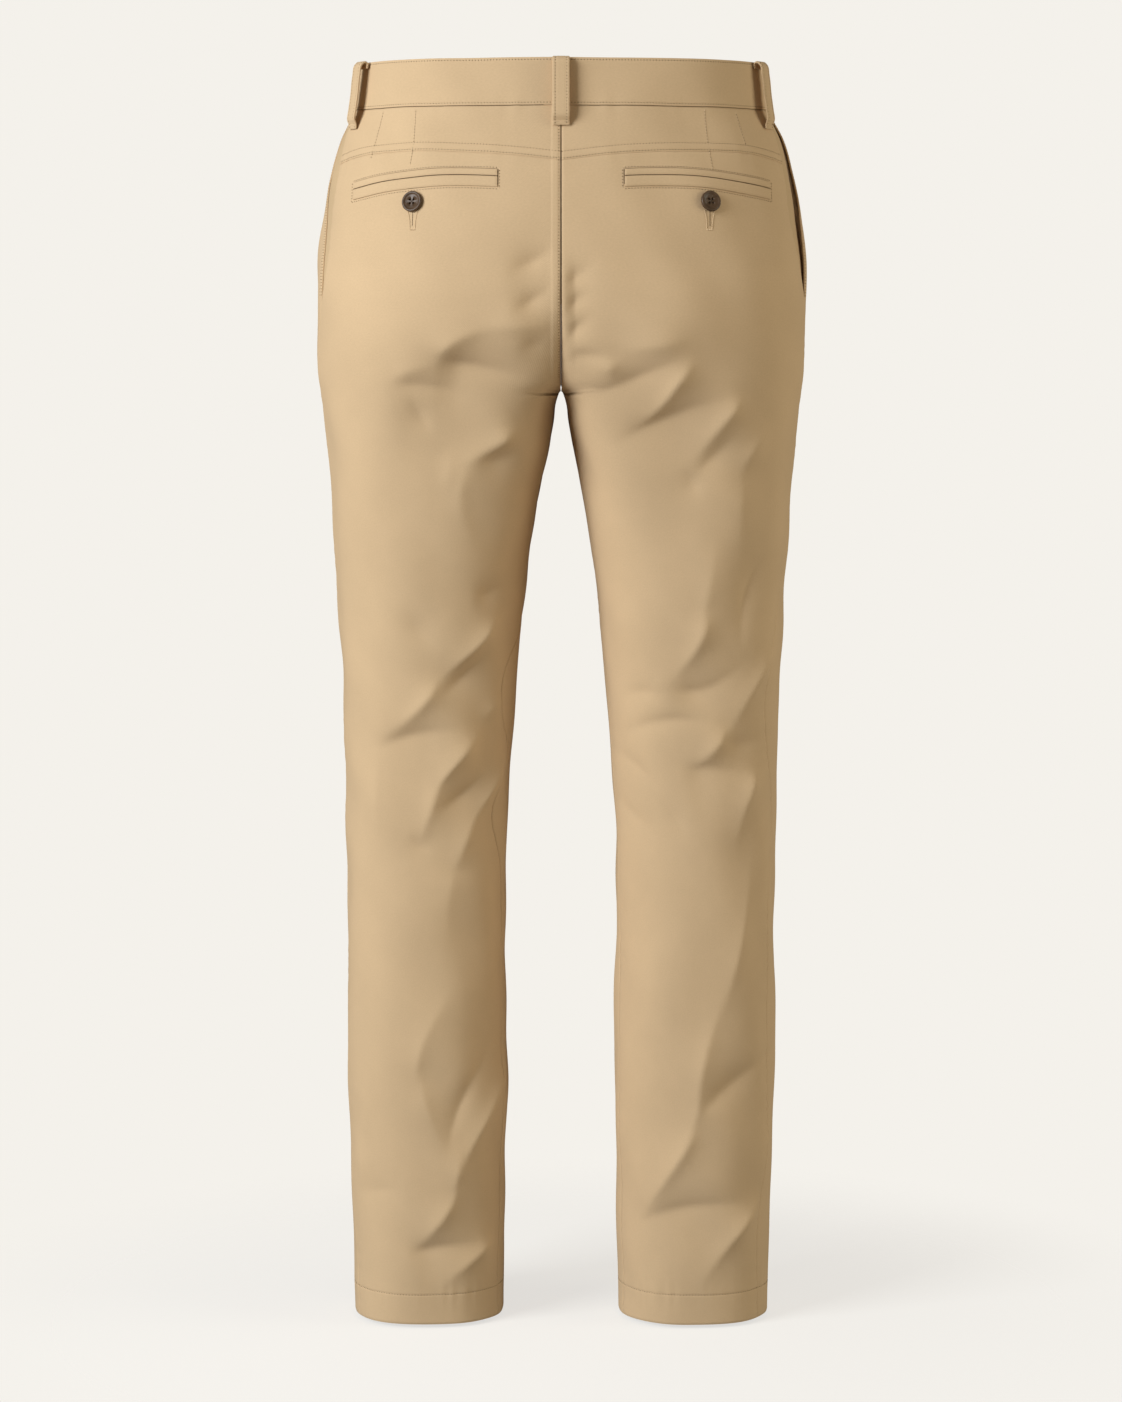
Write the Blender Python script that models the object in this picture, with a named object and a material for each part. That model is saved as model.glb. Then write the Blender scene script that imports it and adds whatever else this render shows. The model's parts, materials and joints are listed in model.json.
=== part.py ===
"""Chino trousers, filled out as on a wearer, hollow from the waist to both hems.

Metres, +Z up, +X towards the wearer's left, -Y to the front. The origin is the centre of the waistband, at half
its height. Every piece is a wall laid on one sheet of cloth: a tube round each leg, cut off at the centre plane above
the crotch, with its folds pushed in and out of it.
"""

import math
from collections import namedtuple

import bmesh
import bpy
import numpy as np
from mathutils import Matrix, Vector

MM = 0.001

# Heights, in millimetres from the middle of the waistband.
BAND_HALF = 18.7
CROTCH = -245
HEM = -1015.2
HEM_STITCH = -990
POCKET_FOOT = -172
FLY_FOOT = -166
FLY_BLEND_FOOT = -186
LOOP_FOOT = -34.4

# Thicknesses and gaps, in millimetres.
CLOTH = 1.2
HEM_CLOTH = 2.4
BAND_CLOTH = 2.4
BAND_PROUD = 0.8
FACING_CLOTH = 1.0
LOOP_CLOTH = 1.8
SEAM_GAP = 0.3

# A leg's usual radius, for gaps given as angles, and the small steps that normals are taken from.
LEG_RADIUS = 90
NORMAL_TURN = 0.004
NORMAL_DROP = 0.5

# How near the centre plane the folds die away, so that both sides meet there, in millimetres.
PLANE_FADE = 12

# Each leg's tube on the wearer's left, in millimetres. Its section is four quarter ovals that meet at the middle,
# where the tube is deepest. Above the crotch its inner side lies past the centre plane, where the tube is cut off.
# The inner quarters are squarer near the crotch, where both thighs meet.
SECTIONS = (
    # height, outer, middle, inner, back, front, inner squareness
    (25, 166, 0, -166, 116, 113, 2.25),
    (0, 169, 0, -169, 118, 115, 2.25),
    (-19, 171.5, 0, -171.5, 120, 117, 2.25),
    (-41, 180.5, 1, -178, 125, 119, 2.25),
    (-73, 188, 5, -178, 133, 121, 2.25),
    (-106, 194, 14, -172, 139, 121.5, 2.25),
    (-138, 198, 28, -160, 142.5, 121, 2.3),
    (-171, 199.5, 47, -130, 143, 119, 2.6),
    (-204, 198.7, 69, -78, 138, 115.5, 3.1),
    (-225, 197.8, 83, -38, 131, 112, 3.7),
    (-236, 197.2, 89, -17, 127, 110, 4.1),
    (-245, 196.5, 93, 0, 123.5, 108.5, 4.5),
    (-253, 195.9, 96, 3.7, 120.5, 107, 4.4),
    (-270, 194.5, 99.5, 6.5, 115, 104, 3.9),
    (-302, 191, 102.5, 12.5, 107, 99.5, 3.3),
    (-368, 187, 105.5, 24.4, 96, 92, 2.7),
    (-435, 182.7, 107.5, 32.3, 87, 85, 2.4),
    (-501, 180.2, 109.5, 38.6, 79, 78, 2.25),
    (-568, 178.5, 111, 43.7, 72.5, 72, 2.25),
    (-602, 178, 111.6, 45.2, 70.5, 70, 2.25),
    (-737, 178.5, 112, 45.6, 69, 67, 2.25),
    (-839, 177.3, 111.6, 45.8, 67, 65, 2.25),
    (-941, 175, 111.3, 47.5, 64, 63, 2.25),
    (-976, 173.6, 110.9, 48.2, 63, 62.5, 2.25),
    (-1016, 173.2, 110.8, 48.5, 62, 62, 2.25),
)
SQUARENESS = 2.25

# Seams, in degrees round the leg: 0 is its outer side, 90 its back, 180 its inner side and -90 its front.
SIDE_SEAM = {
    # height, angle
    "left": ((-19, 16), (-73, 19), (-106, 21), (-138, 23), (-171, 20), (-204, 16), (-333, 8),
             (-460, 5.5), (-600, 5.5), (-800, 12), (-940, 22), (-1016, 26)),
    "right": ((-19, 20), (-73, 20), (-106, 22), (-138, 18), (-171, 13), (-204, 6.5), (-270, 6.5),
              (-333, 10), (-392, 22), (-460, 35), (-490, 39), (-530, 35), (-606, 25), (-640, 30),
              (-740, 31.5), (-887, 30), (-940, 39), (-990, 35), (-1016, 35)),
}
INSEAM = {
    # height, angle
    "left": ((-245, 180), (-300, 180), (-400, 174.5), (-440, 166), (-480, 145), (-510, 148.5),
             (-543, 164), (-580, 144), (-640, 156), (-800, 157), (-1016, 156)),
    "right": ((-245, 180), (-400, 177), (-600, 166), (-700, 161), (-1016, 159)),
}
YOKE_MIDDLE = -54
YOKE_DROP = 8

# How the columns of a leg panel turn as they pass the crotch. The last ones take up the seam's sharp turn there.
COLUMN_TURN = (
    # height, angle of the last column if they were even
    (-171, 105),
    (-204, 116),
    (-225, 126),
    (-245, 140),
    (-270, 156),
    (-302, 168),
    (-368, 174),
    (-400, 175),
)
EVEN_COLUMNS = 0.8

# Side pockets: how far forward the mouth slants, how it gapes, and the facing under both of its edges. Angles are in
# degrees and depths in millimetres below the cloth's face.
MOUTH_SLANT = 22
MOUTH_RAISE = {"left": 0.6, "right": 2.8}
MOUTH_SPREAD = 12
FACING_DEPTH = 2.1
FACING_UNDER_BACK = 3
FACING_UNDER_FRONT = 7
FACING_BELOW_MOUTH = 8

# The fly and the waistband's end, which lap over the wearer's right side. Sizes across are from the centre plane.
FLY_LAP = 4
FLY_RAISE = 1.7
BAND_LAP = 20
BAND_RAISE = 2.9
LAP_BLEND_FROM = 16
LAP_BLEND_TO = 6

# Columns of the waistband: its first share runs round to this far from the centre front, the rest to its end.
BAND_COLUMNS = 25
BAND_ROUND_SHARE = 0.8
BAND_FLAT = 30

# Folds, from their start by a middle point to their end, each an angle round the leg and a height. The depth is
# positive for a ridge. Upper and lower are how far it spreads on each side. Peak is where it is deepest, along it.
Fold = namedtuple("Fold", "leg start middle end depth upper lower peak")
FOLDS = (
    # The seat and the thighs under it.
    Fold("left", (81, -222), (85, -201), (102, -187), 5, 16, 12, 0.35),
    Fold("left", (89, -196), (100, -192), (112, -195), 4, 22, 14, 0.5),
    Fold("left", (81, -220), (98, -225), (131, -238), -5, 9, 34, 0.35),
    Fold("left", (64, -241), (83, -241), (113, -256), -3.5, 10, 24, 0.35),
    Fold("left", (99, -304), (116, -290), (128, -268), 6.5, 13, 8, 0.7),
    Fold("left", (114, -290), (106, -337), (128, -389), 3.5, 15, 15, 0.35),
    Fold("left", (86, -150), (92, -142), (96, -128), -4, 10, 12, 0.5),
    Fold("left", (94, -179), (98, -173), (101, -157), -4.5, 10, 12, 0.5),
    Fold("right", (109, -185), (102, -173), (94, -162), -3.5, 7, 10, 0.4),
    Fold("right", (117, -206), (107, -193), (97, -179), -3.5, 7, 10, 0.4),
    Fold("right", (146, -253), (109, -237), (74, -209), -4.5, 10, 24, 0.5),
    Fold("right", (105, -214), (89, -207), (71, -201), 3.5, 22, 12, 0.6),
    Fold("right", (75, -215), (97, -250), (126, -292), 5.5, 9, 9, 0.3),
    Fold("right", (125, -292), (102, -267), (57, -246), -4.5, 8, 26, 0.45),
    Fold("right", (60, -246), (75, -274), (91, -311), 5.5, 9, 9, 0.3),
    Fold("right", (90, -314), (77, -296), (62, -270), -3.5, 8, 22, 0.5),
    Fold("right", (42, -270), (57, -292), (63, -323), 4, 10, 12, 0.5),
    Fold("right", (61, -305), (63, -343), (62, -395), 3.5, 20, 20, 0.4),
    # The backs of the knees.
    Fold("left", (117, -412), (130, -406), (153, -400), -3.5, 9, 16, 0.4),
    Fold("left", (136, -423), (119, -451), (92, -485), 6, 9, 8, 0.35),
    Fold("left", (95, -495), (114, -475), (132, -450), -4.5, 9, 20, 0.45),
    Fold("left", (99, -472), (84, -503), (51, -535), 5, 10, 9, 0.35),
    Fold("left", (51, -539), (82, -523), (124, -520), -4.5, 9, 26, 0.4),
    Fold("left", (134, -516), (105, -554), (92, -589), 6.5, 10, 9, 0.3),
    Fold("left", (103, -560), (93, -591), (84, -628), 4, 10, 10, 0.35),
    Fold("left", (96, -588), (115, -574), (140, -553), -5, 8, 16, 0.5),
    Fold("left", (161, -534), (139, -571), (120, -606), 5, 9, 9, 0.5),
    Fold("left", (131, -583), (120, -609), (107, -651), 4, 10, 10, 0.5),
    Fold("right", (76, -354), (81, -403), (88, -450), 4.5, 10, 28, 0.6),
    Fold("right", (83, -418), (88, -449), (113, -487), 6, 10, 10, 0.4),
    Fold("right", (113, -480), (82, -485), (49, -450), -4.5, 9, 28, 0.35),
    Fold("right", (41, -368), (58, -412), (58, -463), -5, 15, 10, 0.5),
    Fold("right", (30, -449), (52, -486), (72, -534), 5.5, 10, 9, 0.35),
    Fold("right", (69, -514), (80, -537), (102, -555), 4.5, 9, 7, 0.35),
    Fold("right", (102, -555), (78, -551), (42, -563), -3.5, 8, 26, 0.35),
    Fold("right", (44, -551), (56, -581), (64, -628), 6, 9, 10, 0.3),
    # The shins and hems.
    Fold("left", (120, -722), (90, -775), (86, -822), 4, 14, 14, 0.65),
    Fold("left", (88, -797), (92, -835), (112, -883), 3.5, 10, 14, 0.4),
    Fold("left", (148, -781), (118, -825), (104, -882), -4, 10, 10, 0.5),
    Fold("left", (180, -788), (135, -844), (109, -903), 6, 10, 10, 0.5),
    Fold("left", (115, -860), (112, -891), (108, -923), 3.5, 10, 10, 0.5),
    Fold("left", (114, -897), (100, -928), (75, -959), 5, 10, 9, 0.4),
    Fold("left", (75, -958), (100, -950), (151, -949), -4.5, 9, 26, 0.4),
    Fold("left", (148, -945), (125, -962), (94, -989), 5, 10, 8, 0.35),
    Fold("right", (49, -612), (58, -685), (77, -767), 4.5, 12, 12, 0.6),
    Fold("right", (66, -722), (85, -792), (88, -845), 5.5, 12, 12, 0.6),
    Fold("right", (87, -808), (91, -842), (105, -876), 4, 12, 12, 0.5),
    Fold("right", (89, -843), (105, -881), (142, -942), 6, 12, 9, 0.4),
    Fold("right", (89, -843), (63, -811), (6, -783), -5, 10, 14, 0.4),
    Fold("right", (142, -938), (94, -916), (30, -918), -4.5, 9, 30, 0.4),
    Fold("right", (30, -910), (63, -944), (92, -996), 6, 11, 9, 0.35),
    # The fronts.
    Fold("left", (-150, -268), (-112, -240), (-78, -216), -6, 13, 12, 0.4),
    Fold("left", (-135, -300), (-104, -272), (-70, -258), -5, 14, 12, 0.5),
    Fold("left", (-62, -498), (-92, -486), (-128, -500), -6, 13, 11, 0.4),
    Fold("left", (-70, -540), (-100, -528), (-136, -545), -6, 12, 12, 0.5),
    Fold("left", (-58, -905), (-92, -886), (-130, -902), -6, 12, 13, 0.5),
    Fold("left", (-76, -940), (-104, -928), (-140, -944), -5, 11, 11, 0.4),
    Fold("right", (-146, -262), (-106, -232), (-74, -212), -6, 14, 12, 0.5),
    Fold("right", (-138, -292), (-108, -268), (-66, -246), -6, 13, 12, 0.4),
    Fold("right", (-56, -508), (-88, -496), (-122, -505), -6, 13, 12, 0.6),
    Fold("right", (-66, -556), (-96, -544), (-130, -552), -5, 12, 12, 0.5),
    Fold("right", (-52, -884), (-84, -872), (-124, -892), -6, 12, 13, 0.5),
    Fold("right", (-60, -932), (-98, -920), (-134, -938), -6, 12, 11, 0.4),
)
FOLD_STEPS = 14
FOLD_EDGE = 2
FOLD_BLEND = 3

# The cleft along the centre seam just above the crotch, in millimetres.
CLEFT_TOP = -150
CLEFT_DEPTH = 12
CLEFT_WIDTH = 11

# Rows of a leg panel, as runs of even steps.
LEG_RUNS = (
    # from, to, steps
    (POCKET_FOOT, FLY_BLEND_FOOT, 1),
    (FLY_BLEND_FOOT, -210, 2),
    (-210, -238, 4),
    (-238, CROTCH, 2),
    (CROTCH, -253, 2),
    (-253, -290, 4),
    (-290, -405, 5),
    (-405, -595, 13),
    (-595, -830, 6),
    (-830, -976, 8),
    (-976, HEM_STITCH + 0.5, 1),
    (HEM_STITCH + 0.5, HEM_STITCH - 0.5, 1),
    (HEM_STITCH - 0.5, HEM, 2),
)
BACK_TOP_RUNS = ((-60, POCKET_FOOT, 6),)
FRONT_TOP_RUNS = ((-BAND_HALF, FLY_FOOT, 6), (FLY_FOOT, POCKET_FOOT, 1))
BACK_COLUMNS = 16
FRONT_COLUMNS = 11
YOKE_ROWS = 2
YOKE_FADE = 60
FACING_COLUMNS = 3
FACING_ROWS = 8
WELT_COLUMNS = 12
TAPE_COLUMNS = 2
TAPE_ROWS = 7

# Back pockets, in millimetres across from the centre back seam and in height.
WELT_FROM = 50
WELT_TO = 166
WELT_TOP = -68
WELT_CREST = 80
WELT_SAG = 10
WELT_UPPER = 5.2
WELT_LOWER = 8.3
WELT_CLOTH = 1.1
BACK_BUTTON = (117, -94.5)

# Belt loops: the angle of each, its width, and the path of the strip's middle as height and distance off the cloth.
LOOP_ANGLES = {
    "belt_loop_back": ("left", None),
    "belt_loop_side_left": ("left", 24),
    "belt_loop_side_right": ("right", 24),
    "belt_loop_front_left": ("left", -60),
    "belt_loop_front_right": ("right", -60),
}
LOOP_WIDTH = 13.5
LOOP_PATH = (
    # height, off the cloth
    (13.5, 2.1),
    (17.5, 2.4),
    (18.6, 4.6),
    (16.6, 7.2),
    (8, 8.2),
    (-8, 8.3),
    (-20, 8.1),
    (-27, 6.3),
    (-31, 3.0),
    (LOOP_FOOT, 1.4),
)

# Buttons, in millimetres.
BUTTON_RADIUS = 8.4
BUTTON_PROFILE = (
    # radius, height above its back
    (0.94, 0),
    (1.0, 0.9),
    (1.0, 2.2),
    (0.93, 2.9),
    (0.8, 2.9),
    (0.66, 1.9),
)
BUTTON_SIDES = 20
BUTTON_HOLE = 0.95
BUTTON_HOLE_SIDES = 8
BUTTON_HOLE_OUT = 1.35
BUTTON_CUT = 9
BUTTON_OFF = 0.5
WAIST_BUTTON_ACROSS = 10

# The zip behind the fly, in millimetres: distances across are from the centre plane, depths are below the cloth.
TAPE_OUTER = 15
TAPE_INNER = 3
TAPE_OUTER_DEPTH = 2.1
TAPE_INNER_DEPTH = 4.5
TAPE_CLOTH = 0.8
TAPE_TOP = -20
TAPE_FOOT = -162
SLIDER_TOP = -22
SLIDER_LENGTH = 9
SLIDER_WING = 4.5
SLIDER_POST = 2.5
SLIDER_PLATE = 0.8
SLIDER_CORE = 2.2
SLIDER_DEPTH = 3.4
TAB_WIDTH = 5
TAB_LENGTH = 22
TAB_THICKNESS = 0.9
TAB_BELOW = 1
TAB_SUNK = 0.3

# Colours and finish: base colour, roughness, metallic.
FINISHES = {
    "cloth": ((0.56, 0.42, 0.26, 1), 0.85, 0.0),
    "facing": ((0.50, 0.37, 0.23, 1), 0.88, 0.0),
    "button": ((0.09, 0.06, 0.045, 1), 0.4, 0.0),
    "zip_tape": ((0.45, 0.34, 0.22, 1), 0.8, 0.0),
    "zip_metal": ((0.55, 0.42, 0.22, 1), 0.35, 1.0),
}


def clear_scene():
    for old in list(bpy.data.objects):
        bpy.data.objects.remove(old, do_unlink=True)


def finish(name):
    """The material of that name, made once."""
    found = bpy.data.materials.get(name)
    if found:
        return found
    colour, roughness, metallic = FINISHES[name]
    made = bpy.data.materials.new(name)
    made.use_nodes = True
    shader = made.node_tree.nodes["Principled BSDF"]
    shader.inputs["Base Color"].default_value = colour
    shader.inputs["Roughness"].default_value = roughness
    shader.inputs["Metallic"].default_value = metallic
    return made


def add_object(name, mesh, material):
    """A named object from a bmesh, smooth but for its sharp edges."""
    bmesh.ops.recalc_face_normals(mesh, faces=mesh.faces)
    if mesh.calc_volume(signed=True) < 0:
        bmesh.ops.reverse_faces(mesh, faces=mesh.faces)
    data = bpy.data.meshes.new(name)
    mesh.to_mesh(data)
    mesh.free()
    data.shade_smooth()
    data.set_sharp_from_angle(angle=math.radians(50))
    data.materials.append(finish(material))
    made = bpy.data.objects.new(name, data)
    bpy.context.scene.collection.objects.link(made)
    return made


def join_rings(mesh, rings):
    """Faces between rings of points and over both ends."""
    for first, second in zip(rings, rings[1:]):
        for side in range(len(first)):
            mesh.faces.new((first[side], first[side - 1], second[side - 1], second[side]))
    mesh.faces.new(rings[0])
    mesh.faces.new(rings[-1])


def use_shape(part, shape, operation):
    """Cut a shape from a part, or join it to it, and hide the shape."""
    shape.hide_render = True
    shape.display_type = "WIRE"
    joint = part.modifiers.new("shape", "BOOLEAN")
    joint.operation = operation
    joint.object = shape


def smooth_step(value):
    """0 below 0, 1 above 1 and a soft rise between."""
    value = np.clip(value, 0, 1)
    return value * value * (3 - 2 * value)


def run_of(rows, column, height):
    """One column of a table against its heights, as a smooth run, at these heights in metres."""
    table = np.array(rows, float)[::-1]
    heights, values = table[:, 0] * MM, table[:, column]
    slopes = np.gradient(values, heights)
    height = np.clip(height, heights[0], heights[-1])
    below = np.clip(np.searchsorted(heights, height) - 1, 0, len(heights) - 2)
    step = heights[below + 1] - heights[below]
    t = (height - heights[below]) / step
    start = (1 + 2 * t) * (1 - t) ** 2 * values[below] + t * (1 - t) ** 2 * step * slopes[below]
    end = t * t * (3 - 2 * t) * values[below + 1] + t * t * (t - 1) * step * slopes[below + 1]
    return start + end


def section(height):
    """The tube at a height: its middle across, its widths out and in from there, and its middle and half depth."""
    outer, middle, inner, back, front = (run_of(SECTIONS, column, height) * MM for column in range(1, 6))
    return middle, outer - middle, middle - inner, (back - front) / 2, (back + front) / 2


def squareness(outside, height):
    """How square the quarter oval is on the outer or the inner side of the tube's middle."""
    return np.where(outside, SQUARENESS, run_of(SECTIONS, 6, height))


def angle_at(across, height):
    """The angle round the leg at which the tube's back is this far from the centre plane."""
    middle, outer_width, inner_width, _, _ = section(height)
    outside = across > middle
    share = np.clip((across - middle) / np.where(outside, outer_width, inner_width), -1, 1)
    square = squareness(outside, height)
    return np.arctan2((1 - np.abs(share) ** square) ** (1 / square), share)


def oval(angle, height):
    """The shares of the tube's width and of its depth at an angle."""
    square = squareness(np.cos(angle) > 0, height)
    size = (np.abs(np.cos(angle)) ** square + np.abs(np.sin(angle)) ** square) ** (1 / square)
    return np.cos(angle) / size, np.sin(angle) / size


def tube_point(leg, angle, height):
    """Points of the unfolded cloth. Past the centre plane it lies on the other leg's cloth."""
    middle, outer_width, inner_width, centre, depth = section(height)
    share, _ = oval(angle, height)
    across = middle + np.where(share > 0, outer_width, inner_width) * share
    turned = np.where(across < 0, np.copysign(angle_at(-across, height), angle), angle)
    _, rise = oval(turned, height)
    side = 1 if leg == "left" else -1
    return np.stack([side * across, centre + depth * rise, height + 0 * across], axis=-1)


def outward(place, leg, angle, height):
    """Unit normals of a sheet at its points, from small steps round and down it."""
    drop = NORMAL_DROP * MM
    round_it = place(leg, angle + NORMAL_TURN, height) - place(leg, angle - NORMAL_TURN, height)
    down_it = place(leg, angle, height - drop) - place(leg, angle, height + drop)
    normal = np.cross(down_it, round_it)
    normal *= 1 if leg == "left" else -1
    return normal / np.linalg.norm(normal, axis=-1, keepdims=True)


def fold_line(fold):
    """The fold's run on the unfolded cloth."""
    start, middle, end = (np.array(point, float) for point in (fold.start, fold.middle, fold.end))
    along = np.linspace(0, 1, FOLD_STEPS + 1)[:, None]
    pull = 2 * middle - (start + end) / 2
    route = (1 - along) ** 2 * start + 2 * along * (1 - along) * pull + along**2 * end
    return tube_point(fold.leg, np.radians(route[:, 0]), route[:, 1] * MM)


def fold_lift(leg, points):
    """How far the folds move the cloth out at these points of the unfolded sheet."""
    lift = np.zeros(points.shape[:-1])
    for fold in FOLDS:
        if fold.leg != leg:
            continue
        line = fold_line(fold)
        reach = 4 * max(fold.upper, fold.lower) * MM
        low, high = line.min(axis=0) - reach, line.max(axis=0) + reach
        near = ((points > low) & (points < high)).all(axis=-1)
        if not near.any():
            continue
        runs = line[1:] - line[:-1]
        offset = points[near][:, None, :] - line[None, :-1, :]
        share = np.clip((offset * runs).sum(axis=-1) / (runs * runs).sum(axis=-1), 0, 1)
        offset = offset - share[..., None] * runs
        distance = np.linalg.norm(offset, axis=-1)
        nearest = distance.min(axis=-1)
        weight = np.exp((nearest[:, None] - distance) / (FOLD_BLEND * MM))
        weight /= weight.sum(axis=-1, keepdims=True)
        travelled = (weight * (np.arange(len(runs)) + share)).sum(axis=-1) / len(runs)
        rise = (weight * offset[..., 2]).sum(axis=-1) / np.maximum(nearest, 0.1 * MM)
        spread = (fold.lower + (fold.upper - fold.lower) * smooth_step(0.5 + rise)) * MM
        taper = smooth_step(np.minimum(travelled / fold.peak, (1 - travelled) / (1 - fold.peak)))
        nearest = np.hypot(nearest, FOLD_EDGE * MM) - FOLD_EDGE * MM
        lift[near] += fold.depth * MM * taper * np.exp(-nearest / spread)
    return lift


def cleft(points, angle):
    """How far the centre seam draws the cloth in, towards the front at the back and towards the back in front."""
    low = smooth_step((CLEFT_TOP * MM - points[..., 2]) / ((CLEFT_TOP - CROTCH) * MM))
    return CLEFT_DEPTH * MM * low * np.sin(angle) * np.exp(-np.abs(points[..., 0]) / (CLEFT_WIDTH * MM))


def sheet_point(leg, angle, height):
    """Points of the folded cloth."""
    flat = tube_point(leg, angle, height)
    lift = fold_lift(leg, flat) * smooth_step(np.abs(flat[..., 0]) / (PLANE_FADE * MM))
    point = flat + outward(tube_point, leg, angle, height) * lift[..., None]
    point[..., 1] -= cleft(flat, angle)
    return point


def cloth(leg, angle, height, lift=0.0):
    """Points this far off the folded cloth, kept on their own side of the centre plane where they start on it."""
    angle = np.asarray(angle, float)
    height = np.asarray(height, float) + 0 * angle
    lift = np.asarray(lift, float) + 0 * angle
    point = sheet_point(leg, angle, height)
    side = 1 if leg == "left" else -1
    own_side = point[..., 0] * side > -0.01 * MM
    point = point + outward(sheet_point, leg, angle, height) * lift[..., None]
    kept = np.maximum(point[..., 0] * side, SEAM_GAP / 2 * MM) * side
    point[..., 0] = np.where(own_side, kept, point[..., 0])
    return point


def wall(name, columns, rows, place, material="cloth"):
    """A closed wall on a grid. place takes shares across and up it and gives its outer points, or its inner ones."""
    mesh = bmesh.new()
    bmesh.ops.create_grid(mesh, x_segments=columns, y_segments=rows, size=0.5)
    made = bmesh.ops.extrude_face_region(mesh, geom=mesh.faces[:])
    inner = {part for part in made["geom"] if isinstance(part, bmesh.types.BMVert)}
    for group, inside in ((set(mesh.verts) - inner, False), (inner, True)):
        points = sorted(group, key=lambda vertex: vertex.index)
        shares = np.array([(vertex.co.x + 0.5, vertex.co.y + 0.5) for vertex in points])
        for vertex, place_at in zip(points, place(shares[:, 0], shares[:, 1], inside)):
            vertex.co = place_at
    return add_object(name, mesh, material)


def rows_of(runs):
    """Heights in metres, down a list of runs."""
    heights = [runs[0][0]]
    for start, end, steps in runs:
        heights += [start + (end - start) * (step + 1) / steps for step in range(steps)]
    return np.array(heights) * MM


def gap_angle():
    """Half a seam's gap, as an angle round a leg."""
    return SEAM_GAP / 2 / LEG_RADIUS


def side_seam(leg, height):
    return np.radians(run_of(SIDE_SEAM[leg], 1, height))


def back_end(leg, height):
    """Where a back piece ends: the centre back seam, and the inseam below the crotch."""
    inseam = np.radians(run_of(INSEAM[leg], 1, height))
    centre = angle_at(SEAM_GAP / 2 * MM, height)
    return np.where(height > CROTCH * MM, centre, inseam - gap_angle())


def front_end(leg, height):
    """Where a front ends: the inseam, and above the crotch the centre front, which the left one laps over."""
    inseam = np.radians(run_of(INSEAM[leg], 1, height))
    edge = np.full_like(height, SEAM_GAP / 2 * MM)
    if leg == "left":
        lap = smooth_step((height / MM - POCKET_FOOT) / (FLY_FOOT - POCKET_FOOT))
        edge = edge - (FLY_LAP + SEAM_GAP / 2) * MM * lap
    centre = angle_at(edge, height)
    return -np.where(height > CROTCH * MM, centre, 2 * np.pi - inseam - gap_angle())


def column_angle(start, end, height, across):
    """The angles at shares across a leg panel between its two ends."""
    top, foot = COLUMN_TURN[0][0] * MM, COLUMN_TURN[-1][0] * MM
    turn = np.copysign(np.radians(run_of(COLUMN_TURN, 1, height)), end)
    even = np.where((height < top) & (height > foot), turn, end)
    knee = start + (even - start) * EVEN_COLUMNS
    last = (across - EVEN_COLUMNS) / (1 - EVEN_COLUMNS)
    return np.where(last > 0, knee + (end - knee) * last, start + (even - start) * across)


def mouth_angle(leg, height):
    """The slanted mouth of a side pocket, which runs forward from the side seam."""
    rise = (height / MM - POCKET_FOOT) / (-BAND_HALF - POCKET_FOOT)
    return side_seam(leg, height) - math.radians(MOUTH_SLANT) * np.clip(rise, 0, 1)


def lap_lift(leg, angle, height, raise_mm):
    """How far the left side is lifted to lap over the right one at the centre front."""
    if leg == "right":
        return 0 * angle
    across = tube_point(leg, angle, height)[..., 0] / MM
    near = smooth_step((LAP_BLEND_FROM - across) / (LAP_BLEND_FROM - LAP_BLEND_TO))
    high = smooth_step((height / MM - FLY_BLEND_FOOT) / (POCKET_FOOT - FLY_BLEND_FOOT))
    return raise_mm * MM * near * high * (np.sin(angle) < 0)


def yoke_seam(share):
    """The height of the yoke's lower edge, from the side seam at 0 to the centre back at 1."""
    return (YOKE_MIDDLE - YOKE_DROP * (2 * share - 1) ** 2) * MM


def cloth_depth(height, inside):
    """How far below the cloth's face a leg panel's wall lies: twice as thick where the hem is turned up."""
    thickness = np.where(height < HEM_STITCH * MM, HEM_CLOTH, CLOTH)
    return -thickness * MM if inside else 0 * height


def make_back(leg):
    heights = rows_of(BACK_TOP_RUNS + LEG_RUNS)

    def place(across, up, inside):
        height = heights[np.rint((1 - up) * (len(heights) - 1)).astype(int)]
        fade = np.clip(1 - (heights[0] - height) / (YOKE_FADE * MM), 0, 1)
        height = height + (yoke_seam(across) - SEAM_GAP / 2 * MM - heights[0]) * fade
        start = side_seam(leg, height) + gap_angle()
        angle = column_angle(start, back_end(leg, height), height, across)
        return cloth(leg, angle, height, cloth_depth(height, inside))

    wall(f"back_{leg}", BACK_COLUMNS, len(heights) - 1, place)


def make_yoke(leg):
    top = -(BAND_HALF + SEAM_GAP / 2) * MM

    def place(across, up, inside):
        foot = yoke_seam(across) + SEAM_GAP / 2 * MM
        height = foot + (top - foot) * up
        start = side_seam(leg, height) + gap_angle()
        angle = start + (back_end(leg, height) - start) * across
        return cloth(leg, angle, height, -CLOTH * MM if inside else 0)

    wall(f"back_yoke_{leg}", BACK_COLUMNS, YOKE_ROWS, place)


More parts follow.
